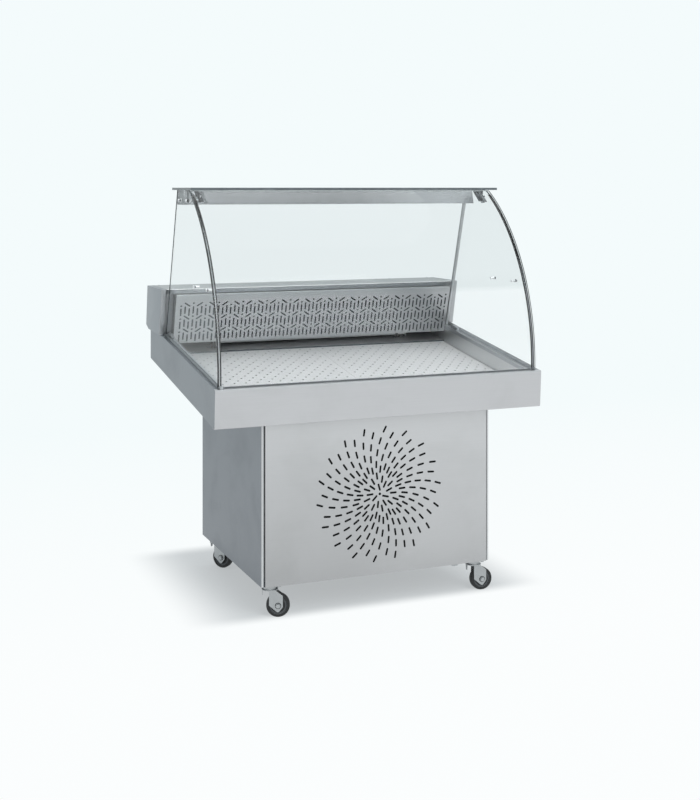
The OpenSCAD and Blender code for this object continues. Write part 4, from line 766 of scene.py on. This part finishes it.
class Maker:
    """Mesh making in millimetres, with each new piece dressed and seated on its body."""

    @staticmethod
    def finish_piece(name: str, mesh: bmesh.types.BMesh, finish: Finish, body: str = "cabinet",
                     smooth: float = 40.0, slot: str | None = None) -> bpy.types.Object:
        """Turns a finished bmesh into a piece of the scene.

        Args:
            name: The piece's name.
            mesh: Its bmesh, in metres, which is freed.
            finish: Its finish.
            body: The body that carries it.
            smooth: Angle in degrees under which edges shade smooth.
            slot: The record's material slot, if the finish stands for one; not used.

        Returns:
            The new object.
        """
        bmesh.ops.remove_doubles(mesh, verts=mesh.verts, dist=1e-7)
        bmesh.ops.recalc_face_normals(mesh, faces=mesh.faces)
        data = bpy.data.meshes.new(name)
        mesh.to_mesh(data)
        mesh.free()
        for polygon in data.polygons:
            polygon.use_smooth = True
        data.set_sharp_from_angle(angle=math.radians(smooth))
        data.materials.append(finish.material())
        piece = bpy.data.objects.new(name, data)
        bpy.context.scene.collection.objects.link(piece)
        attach(piece, body)
        LOG.info("%s: %d faces on %s", name, len(data.polygons), body)
        return piece

    @staticmethod
    def turned(mesh: bmesh.types.BMesh, profile: Sequence[tuple[float, float]], matrix: Matrix,
               steps: int = 20) -> None:
        """Adds a turned form, spun about the matrix's z axis.

        Args:
            mesh: The bmesh that it goes into.
            profile: Radius and height of each ring, in millimetres, from one end to the other.
            matrix: Where the form's own frame lies.
            steps: Faces round the form.
        """
        turns = [2 * math.pi * k / steps for k in range(steps)]
        rings = []
        for radius, height in profile:
            spots = [(0, 0)]
            if radius > 1e-6:
                spots = [(radius * math.cos(a), radius * math.sin(a)) for a in turns]
            rings.append([mesh.verts.new(matrix @ (Vector((x, y, height)) / 1000.0)) for x, y in spots])
        for low, high in zip(rings, rings[1:]):
            for k in range(steps):
                j = (k + 1) % steps
                corners = [low[k % len(low)], low[j % len(low)], high[j % len(high)], high[k % len(high)]]
                unique = list(dict.fromkeys(corners))
                if len(unique) > 2:
                    mesh.faces.new(unique)

    @staticmethod
    def aimed(point: Vector, axis: Sequence[float]) -> Matrix:
        """Returns a frame at a point whose z axis looks along an axis."""
        turn = Vector(axis).normalized().to_track_quat("Z", "Y").to_matrix().to_4x4()
        return Matrix.Translation(point) @ turn

    @staticmethod
    def block(mesh: bmesh.types.BMesh, size: Sequence[float], at: Vector | Matrix, ease: float = 0.4) -> None:
        """Adds a block with eased edges.

        Args:
            mesh: The bmesh that it goes into.
            size: Its three sides in millimetres.
            at: Its middle, or the matrix of its own frame.
            ease: Width of the eased edges in millimetres.
        """
        frame_at = at if isinstance(at, Matrix) else Matrix.Translation(at)
        scale = Matrix.Diagonal((*[v / 1000.0 for v in size], 1.0))
        made = bmesh.ops.create_cube(mesh, size=1.0, matrix=frame_at @ scale)
        edges = list({e for v in made["verts"] for e in v.link_edges})
        bmesh.ops.bevel(mesh, geom=edges, offset=ease / 1000.0, segments=2, profile=0.5, affect="EDGES")

    @staticmethod
    def loft(mesh: bmesh.types.BMesh, rings: Sequence[Sequence[bmesh.types.BMVert]]) -> None:
        """Joins rings of vertices by faces, and closes both ends.

        Args:
            mesh: The bmesh that they are in.
            rings: The rings, all with the same number of vertices.
        """
        for low, high in zip(rings, rings[1:]):
            for k in range(len(low)):
                j = (k + 1) % len(low)
                mesh.faces.new((low[k], low[j], high[j], high[k]))
        mesh.faces.new(list(reversed(rings[0])))
        mesh.faces.new(rings[-1])

    @staticmethod
    def tube(mesh: bmesh.types.BMesh, points: Sequence[Vector], radius: float, steps: int = 8) -> None:
        """Adds a tube along points, closed at both ends.

        Args:
            mesh: The bmesh that it goes into.
            points: The points it follows, in metres.
            radius: Its radius in millimetres.
            steps: Faces round the tube.
        """
        turns = [2 * math.pi * k / steps for k in range(steps)]
        rings = []
        for i, point in enumerate(points):
            ahead = (points[min(i + 1, len(points) - 1)] - points[max(i - 1, 0)]).normalized()
            side = (ahead.orthogonal() if i == 0 else last - ahead * last.dot(ahead)).normalized()
            last = side
            up = ahead.cross(side)
            rings.append([mesh.verts.new(point + (side * math.cos(a) + up * math.sin(a)) * radius / 1000.0)
                          for a in turns])
        Maker.loft(mesh, rings)

    @staticmethod
    def screws(name: str, spots: Iterable[Vector], axis: Sequence[float]) -> None:
        """Adds a piece of bright screw heads on the cabinet.

        Args:
            name: The piece's name.
            spots: Where the heads sit, in metres.
            axis: The direction that they look.
        """
        mesh = bmesh.new()
        for spot in spots:
            Maker.turned(mesh, SCREW_HEAD, Maker.aimed(spot, axis), 16)
        Maker.finish_piece(name, mesh, Palette.bright)


@dataclass
class Dressed:
    """A sub-assembly: which finish each of its solids wears, and what is added to them."""

    wears: dict[str, Finish] = field(default_factory=dict)

    def dress(self) -> None:
        """Gives each solid its finish."""
        for node, finish in self.wears.items():
            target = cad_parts[node]
            target.data.materials.clear()
            target.data.materials.append(finish.material())
            LOG.info("%s wears %s", node, finish.name)

    def add_details(self) -> None:
        """Adds the pieces that the solids leave out. A plain sub-assembly adds none."""

    def build(self) -> None:
        """Dresses the solids and adds the details."""
        self.dress()
        self.add_details()


@dataclass
class Pedestal(Dressed):
    """The cabinet that holds the condensing unit."""

    screw_x: float = 390.5
    screw_depth: float = 740.5
    screw_heights: tuple[float, ...] = (125.0, 365.0, 605.0)
    # a black sheet behind the front panel's slots, which paints the shade in them
    slot_sheet_size: Point = (482.0, 1.0, 492.0)
    slot_sheet_depth: float = 59.4
    slot_sheet_height: float = 364.7

    def add_details(self) -> None:
        """Adds the screws of the back panel, and a black sheet behind the front panel's slots that paints the
        shade in them.
        """
        Maker.screws("back_panel_screws", (place(side * self.screw_x, self.screw_depth, height)
                                           for side in (-1, 1) for height in self.screw_heights), (0, 1, 0))
        mesh = bmesh.new()
        Maker.block(mesh, self.slot_sheet_size, place(0, self.slot_sheet_depth, self.slot_sheet_height), 0.3)
        Maker.finish_piece("slot_shade_sheet", mesh, Palette.slot_shade_black)


@dataclass
class CondensingUnit(Dressed):
    """Compressor, condenser, fan and pipework."""

    shell_x: float = -190.0
    shell_depth: float = 500.0
    shell_radius: float = 74.0
    seam_height: float = 215.0
    seam: tuple[tuple[float, float], ...] = ((-0.6, -2.6), (1.4, -1.6), (2.0, 0.0), (1.4, 1.6), (-0.6, 2.6))

    def add_details(self) -> None:
        """Adds the welded seam round the compressor's shell."""
        mesh = bmesh.new()
        profile = [(self.shell_radius + out, up) for out, up in self.seam]
        middle = place(self.shell_x, self.shell_depth, self.seam_height)
        Maker.turned(mesh, profile, Matrix.Translation(middle), 48)
        Maker.finish_piece("compressor_seam", mesh, Palette.black_enamel, slot="black_enamel")


@dataclass
class Counter(Dressed):
    """The folded casing, rim, liner and trays."""

    bead_x: float = 555.8
    bead_slopes: tuple[float, ...] = (16.0, 200.0, 400.0, 600.0, 664.0)
    front_bead_x: tuple[float, ...] = (-530.0, -200.0, 0.0, 200.0, 530.0)
    front_bead_slope: float = 8.0
    bead_lift: float = -0.35
    front_bead_lift: float = -1.15
    # a dark sheet under each tray, which paints the shade in its holes
    hole_sheet_size: Point = (520.0, 608.0, 1.0)
    hole_sheet_x: float = 264.5
    hole_sheet_slope: float = 348.6
    hole_sheet_drop: float = 68.4
    drain_x: float = 300.0
    drain_slope: float = 95.0
    drain_drop: float = 96.4
    knobs: int = 8
    knob_reach: float = 11.0
    knob_size: Point = (2.2, 2.2, 0.8)

    def add_details(self) -> None:
        """Adds the seal beads along the rim, dark sheets under the trays that paint the shade in their holes,
        and the strainer over the drain.
        """
        beads = bmesh.new()
        for side in (-1, 1):
            Maker.tube(beads, [on_deck(side * self.bead_x, slope, self.bead_lift)
                               for slope in self.bead_slopes], 0.45)
        Maker.tube(beads, [on_deck(x, self.front_bead_slope, self.front_bead_lift)
                           for x in self.front_bead_x], 0.5)
        Maker.finish_piece("rim_seal_beads", beads, Palette.rubber, slot="black_rubber")
        for side, name in ((-1, "left"), (1, "right")):
            hole_sheet = bmesh.new()
            middle = on_deck(side * self.hole_sheet_x, self.hole_sheet_slope, -self.hole_sheet_drop)
            Maker.block(hole_sheet, self.hole_sheet_size, Matrix.Translation(middle) @ DECK_TURN, 0.3)
            Maker.finish_piece(f"tray_hole_shade_{name}", hole_sheet, Palette.hole_sheet)
        strainer = bmesh.new()
        at = Matrix.Translation(on_deck(self.drain_x, self.drain_slope, -self.drain_drop)) @ DECK_TURN
        Maker.turned(strainer, STRAINER, at, 32)
        for k in range(self.knobs):
            a = 2 * math.pi * k / self.knobs
            spot = Vector((self.knob_reach * math.cos(a), self.knob_reach * math.sin(a), 1.5)) / 1000.0
            turn = Matrix.Rotation(a, 4, "Z")
            Maker.block(strainer, self.knob_size, at @ Matrix.Translation(spot) @ turn, 0.3)
        Maker.finish_piece("drain_strainer", strainer, Palette.bright)


@dataclass
class Housing(Dressed):
    """The evaporator housing along the rear, with its lids, grille and controls."""

    display_x: float = 486.0
    display_slope: float = 877.966
    display_lift: float = 87.0
    window_size: Point = (31.0, 0.6, 21.0)
    lid_screws: tuple[float, ...] = (-540.0, -330.0, -110.0, 110.0, 322.0, 378.0, 540.0)
    lid_screw_depth: float = 830.4
    lid_height: float = 1003.0
    shade_size: Point = (1044.0, 0.8, 160.0)
    shade_depth: float = 633.0
    shade_height: float = 896.8
    shade_lean: float = math.radians(16.85)
    clip_x: float = 330.0
    clip_depth: float = 654.3
    clip_size: Point = (9.0, 4.6, 13.0)
    clip_height: float = 804.6
    probe_height: float = 799.5
    end_from: float = 560.15
    end_reach: float = 578.5
    end_outline: tuple[tuple[float, float], ...] = ((675.6, 839.6), (636.6, 1002.9), (847.6, 1002.9),
                                                    (867.0, 860.0), (832.6, 846.2))

    def add_details(self) -> None:
        """Adds the display, the lids' screws, the ends, the grille's shade and the probe's clip."""
        window = bmesh.new()
        middle = on_deck(self.display_x, self.display_slope, self.display_lift)
        Maker.block(window, self.window_size, Matrix.Translation(middle) @ DECK_TURN, 0.25)
        Maker.finish_piece("display_window", window, Palette.black_enamel)
        self._digits()
        Maker.screws("lid_screws", (place(x, self.lid_screw_depth, self.lid_height) for x in self.lid_screws),
                     (0, 0, 1))
        self._ends()
        backing = bmesh.new()
        turn = Matrix.Rotation(self.shade_lean, 4, "X")
        middle = place(0, self.shade_depth, self.shade_height)
        Maker.block(backing, self.shade_size, Matrix.Translation(middle) @ turn, 0.2)
        Maker.finish_piece("grille_shade", backing, Palette.grille_shade)
        clip = bmesh.new()
        Maker.block(clip, self.clip_size, place(self.clip_x, self.clip_depth, self.clip_height), 1.2)
        start = place(self.clip_x - 12, self.clip_depth, self.probe_height)
        Maker.turned(clip, PROBE, Maker.aimed(start, (1, 0, 0)), 12)
        Maker.finish_piece("probe_clip", clip, Palette.black_plastic, slot="black_plastic")

    def _ends(self) -> None:
        """Closes the housing with two folded ends that stand a little beyond the counter's sides."""
        for side, name in ((-1, "left"), (1, "right")):
            mesh = bmesh.new()
            Maker.loft(mesh, [[mesh.verts.new(place(side * x, d, z)) for d, z in self.end_outline]
                              for x in (self.end_from, self.end_reach)])
            bmesh.ops.recalc_face_normals(mesh, faces=mesh.faces)
            bmesh.ops.bevel(mesh, geom=list(mesh.edges), offset=0.0012, segments=3, profile=0.5,
                            affect="EDGES")
            Maker.finish_piece(f"housing_end_{name}", mesh, Palette.end)

    def _digits(self) -> None:
        """Draws a plain number in seven-segment bars on the display."""
        bars = {"top": (0, 5.6, True), "mid": (0, 0, True), "low": (0, -5.6, True), "ul": (-2.6, 2.8, False),
                "ur": (2.6, 2.8, False), "ll": (-2.6, -2.8, False), "lr": (2.6, -2.8, False)}
        lit = {-5.5: ("ul", "ur", "mid", "lr"), 4.5: ("top", "mid", "low", "ul", "ur", "ll", "lr")}
        mesh = bmesh.new()
        for offset, names in lit.items():
            for name in names:
                dx, dz, flat = bars[name]
                spot = on_deck(self.display_x - offset - dx, self.display_slope + 0.4, self.display_lift + dz)
                size = (4.2, 0.3, 1.0) if flat else (1.0, 0.3, 4.4)
                Maker.block(mesh, size, Matrix.Translation(spot) @ DECK_TURN, 0.1)
        Maker.finish_piece("display_digits", mesh, Palette.lit)


@dataclass
class GlassCase(Dressed):
    """The curved front, the side panes, the shelf and what carries them."""

    arc_depth: float = 702.0
    arc_height: float = 765.0
    seal_outer: float = 678.7
    seal_inner: float = 677.1
    seal_core: tuple[tuple[float, float], ...] = ((548.0, 551.8),)
    seal_lips: tuple[tuple[float, float], ...] = ((544.0, 548.0), (551.8, 555.0))
    foot_height: float = 750.5
    top_height: float = 1333.0
    arc_steps: int = 64
    lamp_depth: float = 485.0
    lamp_height: float = 1316.0
    lamp_reach: float = 470.0
    lamp_radius: float = 8.0
    holder_size: Point = (12.0, 20.0, 30.0)

    def add_details(self) -> None:
        """Gives each pane clear faces and ground edges, and adds seals and the lamp."""
        self._seals()
        self._lamp_tube()
        p = Palette
        for name, glass in (("left", p.left_glass), ("right", p.side_glass)):
            self._pane(f"side_pane_{name}", f"side_glass_{name}", "cabinet", (glass, p.edge),
                       lambda point, n: 0 if abs(n.x) > 0.5 else 1, ease=False)
        self._pane("shelf_pane", "top_shelf", "cabinet", (p.side_glass, p.shelf_edge),
                   lambda point, n: 0 if abs(n.z) > 0.5 else 1)
        self._pane("front_pane", "front_glass", "glass_leaf", (p.glass, p.edge, p.foot_edge),
                   self._front_part)

    def _front_part(self, point: Vector, normal: Vector) -> int:
        """Tells which part of the curved glass a face is.

        Args:
            point: The face's middle.
            normal: Its normal.

        Returns:
            0 for the clear faces, 1 for the ends, 2 for the edges along the foot and the top.
        """
        if abs(normal.x) >= 0.5:
            return 1
        away = point - place(0, self.arc_depth, self.arc_height)
        return 0 if abs(Vector((0, away.y, away.z)).normalized().dot(normal)) > 0.7 else 2

    def _seals(self) -> None:
        """Lays seals of three strips on the front edges of the side panes, where the curved glass rests."""
        low = math.pi + math.asin((self.arc_height - self.foot_height) / self.seal_outer)
        high = math.pi - math.asin((self.top_height - self.arc_height) / self.seal_outer)
        for side, name, core in ((-1, "left", Palette.left_seal), (1, "right", Palette.right_seal)):
            strips = (("seal", self.seal_core, core), ("lip", self.seal_lips, Palette.rubber))
            for kind, spans, finish in strips:
                mesh = bmesh.new()
                for inner, outer in spans:
                    self._strip(mesh, side, inner, outer, low, high)
                Maker.finish_piece(f"arc_{kind}_{name}", mesh, finish)

    def _strip(self, mesh: bmesh.types.BMesh, side: int, inner: float, outer: float, low: float,
               high: float) -> None:
        """Adds one strip of a seal along the arc.

        Args:
            mesh: The bmesh that it goes into.
            side: -1 for the left pane, 1 for the right one.
            inner: Its inner edge's distance from the middle, in millimetres.
            outer: Its outer edge's distance from the middle, in millimetres.
            low: The angle at its foot.
            high: The angle at its top.
        """
        corners = ((inner, self.seal_inner), (inner, self.seal_outer), (outer, self.seal_outer),
                   (outer, self.seal_inner))
        rings = []
        for k in range(self.arc_steps + 1):
            a = low + (high - low) * k / self.arc_steps
            rings.append([mesh.verts.new(place(side * x, self.arc_depth + r * math.cos(a),
                                               self.arc_height + r * math.sin(a))) for x, r in corners])
        Maker.loft(mesh, rings)

    def _lamp_tube(self) -> None:
        """Hangs the lamp's tube and its two holders over the diffuser."""
        tube = bmesh.new()
        r, length = self.lamp_radius, 2 * self.lamp_reach
        profile = [(0.0, 0.0), (r - 0.4, 0.0), (r, 0.6), (r, length - 0.6), (r - 0.4, length), (0.0, length)]
        start = place(-self.lamp_reach, self.lamp_depth, self.lamp_height)
        Maker.turned(tube, profile, Maker.aimed(start, (1, 0, 0)), 24)
        Maker.finish_piece("lamp_tube", tube, Palette.opal, slot="opal_plastic")
        holders = bmesh.new()
        for side in (-1, 1):
            spot = place(side * (self.lamp_reach + 7), self.lamp_depth, self.lamp_height + 2)
            Maker.block(holders, self.holder_size, spot, 1.5)
        Maker.finish_piece("lamp_holders", holders, Palette.white, slot="white_plastic")

    def _pane(self, name: str, node: str, body: str, finishes: Sequence[Finish],
              part: Callable[[Vector, Vector], int], ease: bool = True) -> None:
        """Rebuilds a pane with clear faces and ground edges, in place of its solid.

        Args:
            name: The new piece's name.
            node: The solid that it stands for.
            body: The body that carries it.
            finishes: The finish of the clear faces, then those of the edges.
            part: Says of a face's middle and normal which finish it takes.
            ease: Whether the edges are eased.
        """
        mesh = bmesh.new()
        mesh.from_mesh(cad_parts[node].data)
        bmesh.ops.remove_doubles(mesh, verts=mesh.verts, dist=1e-6)
        if ease:
            bmesh.ops.dissolve_limit(mesh, angle_limit=math.radians(0.2), verts=mesh.verts, edges=mesh.edges)
            sharp = [e for e in mesh.edges
                     if len(e.link_faces) == 2 and e.calc_face_angle(0.0) > math.radians(40)]
            bmesh.ops.bevel(mesh, geom=sharp, offset=0.0005, segments=2, profile=0.5, affect="EDGES")
        mesh.normal_update()
        for face in mesh.faces:
            face.material_index = part(face.calc_center_median(), face.normal)
        piece = Maker.finish_piece(name, mesh, finishes[0], body, smooth=20.0, slot="clear_glass")
        for finish in finishes[1:]:
            piece.data.materials.append(finish.material())
        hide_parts(node)


@dataclass
class Caster:
    """One swivel caster."""

    key: str
    x: float
    depth: float
    swing: float
    trail: float = 26.0
    wheel_radius: float = 37.5
    half_fork: float = 15.55

    def build(self) -> None:
        """Dresses fork and wheel, and adds the axle's washers."""
        a = math.radians(self.swing)
        axle = place(self.x + self.trail * math.cos(a), self.depth + self.trail * math.sin(a),
                     self.wheel_radius)
        wheel = TwoTone(f"wheel_{self.key}_rubber", tuple(axle))
        Dressed({f"caster_{self.key}_fork": Palette.zinc, f"caster_{self.key}_wheel": wheel}).build()
        along = Vector((-math.sin(a), math.cos(a), 0.0))
        mesh = bmesh.new()
        for side in (-1, 1):
            spot = axle + along * side * self.half_fork / 1000.0
            Maker.turned(mesh, WASHER, Maker.aimed(spot, along * side), 24)
        Maker.finish_piece(f"caster_{self.key}_washers", mesh, Palette.black_plastic, f"swivel_{self.key}",
                           slot="black_plastic")


@dataclass
class RunningGear(Dressed):
    """The four casters and their plates."""

    inset: float = 362.5
    front_depth: float = 97.0
    rear_depth: float = 685.0

    def add_details(self) -> None:
        """Builds the four casters, each swung to its own angle in degrees."""
        spots = {"fl": (-1, self.front_depth, -19.0), "fr": (1, self.front_depth, -6.0),
                 "rl": (-1, self.rear_depth, -50.0), "rr": (1, self.rear_depth, -12.0)}
        for key, (side, depth, swing) in spots.items():
            Caster(key, side * self.inset, depth, swing).build()


@dataclass
class Studio:
    """Pale floor, soft lamps and the photograph's camera."""

    paper: Rgb = (0.905, 0.965, 0.973)
    # painted light: the glowing paper is lighter towards the front
    near_paper: Rgb = (0.965, 0.985, 0.988)
    painted_shadow_paper: Rgb = (0.68, 0.705, 0.715)
    floor_colour: Rgb = (0.84, 0.88, 0.885)
    floor_size: float = 30.0
    near_y: tuple[float, float] = (-0.7, 3.0)
    air: Rgb = (0.9, 0.95, 1.0)
    air_strength: float = 0.5
    # share of the lit floor, with its real shadow, near the counter; the rest is the painted shadow
    shade: float = 0.4
    shade_x: tuple[float, float] = (0.4, 0.66)
    shade_back: tuple[float, float] = (0.42, 0.55)
    shade_front: tuple[float, float] = (0.30, 0.40)
    lens: float = 58.042
    shift: float = -0.26464
    eye: Point = (-1.6775, -4.2165, 1.357)
    heading: float = -22.279

    def build(self) -> None:
        """Builds world, floor, lamps and camera."""
        self._world()
        self._floor()
        self._lamp("key_light", (0.6, -4.6, 3.6), (0.0, 0.0, 0.6), 3.2, 120.0)
        self._lamp("top_light", (0.0, 0.2, 4.2), (0.0, 0.0, 0.0), 3.4, 60.0)
        self._lamp("left_light", (-4.4, -0.6, 2.2), (0.0, 0.0, 0.7), 2.6, 18.0)
        self._camera()
        bpy.context.scene.view_settings.view_transform = "Standard"

    def _world(self) -> None:
        """Makes a world that shows as paper, and lights as a dim studio."""
        world = bpy.data.worlds.new("studio_air")
        bpy.context.scene.world = world
        world.use_nodes = True
        world.node_tree.nodes.clear()
        s = Sketch(world.node_tree)
        dim = s.add("ShaderNodeBackground", Color=self.air, Strength=self.air_strength)
        bright = s.add("ShaderNodeBackground", Color=self.paper, Strength=1.0)
        s.add("ShaderNodeOutputWorld", Surface=s.choose(s.seen(), dim, bright))

    def _floor(self) -> None:
        """Makes the paper floor: near the counter it takes the real shadow mixed with a painted shadow
        glowing in darker paper, and it fades to the backdrop's colour, painted lighter towards the front.
        """
        mesh = bmesh.new()
        bmesh.ops.create_grid(mesh, x_segments=8, y_segments=8, size=self.floor_size)
        data = bpy.data.meshes.new("floor_paper")
        mesh.to_mesh(data)
        mesh.free()
        material, s, shader = new_material("floor_paper", self.paper)
        where = s.here()
        grain = s.span(s.noise(where, 300.0, Detail=2.0), 0.3, 0.7, 0.985, 1.0)
        s.feeds(shader, Base_Color=s.toned(self.floor_colour, grain), Roughness=0.9,
                Specular_IOR_Level=0.0)
        parts = s.split(where)
        shadow_zone = 1.0
        ahead = s.math("MULTIPLY", parts["Y"], -1.0)
        for axis, limits in ((s.math("ABSOLUTE", parts["X"]), self.shade_x), (parts["Y"], self.shade_back),
                             (ahead, self.shade_front)):
            edge = s.span(axis, *limits, 1.0, 0.0)
            edge.node.interpolation_type = "SMOOTHSTEP"
            shadow_zone = s.math("MULTIPLY", shadow_zone, edge)
        # painted light: lighter paper towards the front
        near = s.span(parts["Y"], *self.near_y, 1.0, 0.0)
        paper = s.mix("MIX", near, self.paper, self.near_paper)
        # painted shadow: darker glowing paper near the counter
        shaded = s.mix("MIX", shadow_zone, paper, self.painted_shadow_paper)
        glow = s.add("ShaderNodeEmission", Color=shaded, Strength=1.0)
        fade = s.math("SUBTRACT", 1.0, s.math("MULTIPLY", shadow_zone, self.shade))
        show(material, s.choose(s.math("MULTIPLY", fade, s.seen()), shader, glow))
        data.materials.append(material)
        floor = bpy.data.objects.new("floor_paper", data)
        bpy.context.scene.collection.objects.link(floor)

    def _lamp(self, name: str, at: Point, aim: Point, size: float, power: float) -> None:
        """Hangs a soft square lamp that no surface mirrors.

        Args:
            name: The lamp's name.
            at: Where it hangs, in metres.
            aim: The point it looks at.
            size: Its side in metres.
            power: Its power in watts.
        """
        data = bpy.data.lights.new(name, "AREA")
        data.shape = "SQUARE"
        data.size = size
        data.energy = power
        lamp = bpy.data.objects.new(name, data)
        lamp.location = at
        lamp.rotation_euler = (Vector(aim) - Vector(at)).to_track_quat("-Z", "Y").to_euler()
        lamp.visible_glossy = False
        bpy.context.scene.collection.objects.link(lamp)

    def _camera(self) -> None:
        """Sets the camera at the photograph's viewpoint."""
        data = bpy.data.cameras.new("camera")
        data.lens = self.lens
        data.shift_y = self.shift
        data.sensor_width = 36.0
        camera = bpy.data.objects.new("camera", data)
        camera.location = self.eye
        camera.rotation_euler = (math.radians(90.0), 0.0, math.radians(self.heading))
        bpy.context.scene.collection.objects.link(camera)
        bpy.context.scene.camera = camera


def sub_assemblies() -> Iterable[Dressed]:
    """Returns the counter's sub-assemblies with what each of their solids wears."""
    p = Palette
    return (
        Pedestal({"base_plate": p.base, "side_panel_left": p.side_low, "side_panel_right": p.side_low,
                  "front_panel": p.front, "back_panel": p.side, "pedestal_frame": p.zinc}),
        CondensingUnit({"compressor": p.black_enamel, "compressor_feet": p.rubber, "condenser_coil": p.fins,
                        "condenser_shroud": p.black_plastic, "condenser_rotor": p.black_plastic,
                        "fan_motors": p.black_plastic, "pipework": p.copper, "control_box": p.zinc,
                        "power_inlet": p.black_plastic}),
        Counter({"counter_side_left": p.side, "counter_side_right": p.side, "fascia": p.fascia,
                 "counter_bottom": p.side, "foam_insulation": p.foam, "well_liner": p.well,
                 "rim_frame": p.rim, "drain_pipe": p.white, "tray_left": p.tray, "tray_right": p.tray}),
        Housing({"air_grille": p.grille, "housing_shell": p.shell, "housing_lid_left": p.lid,
                 "housing_lid_right": p.lid, "evaporator_coil": p.fins, "fan_plate": p.zinc,
                 "evaporator_rotor_left": p.black_plastic, "evaporator_rotor_right": p.black_plastic,
                 "thermostat": p.black_plastic, "key_set": p.key, "key_up": p.key, "key_down": p.key,
                 "rocker_switch": p.red}),
        GlassCase({"glass_clips": p.bracket, "top_bar": p.bar, "lamp_diffuser": p.opal, "cable_tube": p.tube,
                   "hinge_brackets": p.bracket, "clamp_knob_left": p.stud, "clamp_knob_right": p.stud,
                   "glass_fittings": p.pale_stud, "foot_gaskets": p.gasket}),
        RunningGear({"caster_plates": p.zinc}),
    )


def main() -> None:
    """Builds the studio and the counter."""
    logging.basicConfig(level=logging.INFO, format="%(name)s %(message)s")
    Studio().build()
    for assembly in sub_assemblies():
        assembly.build()
        LOG.info("%s is built", type(assembly).__name__)


if __name__ == "__main__":
    main()
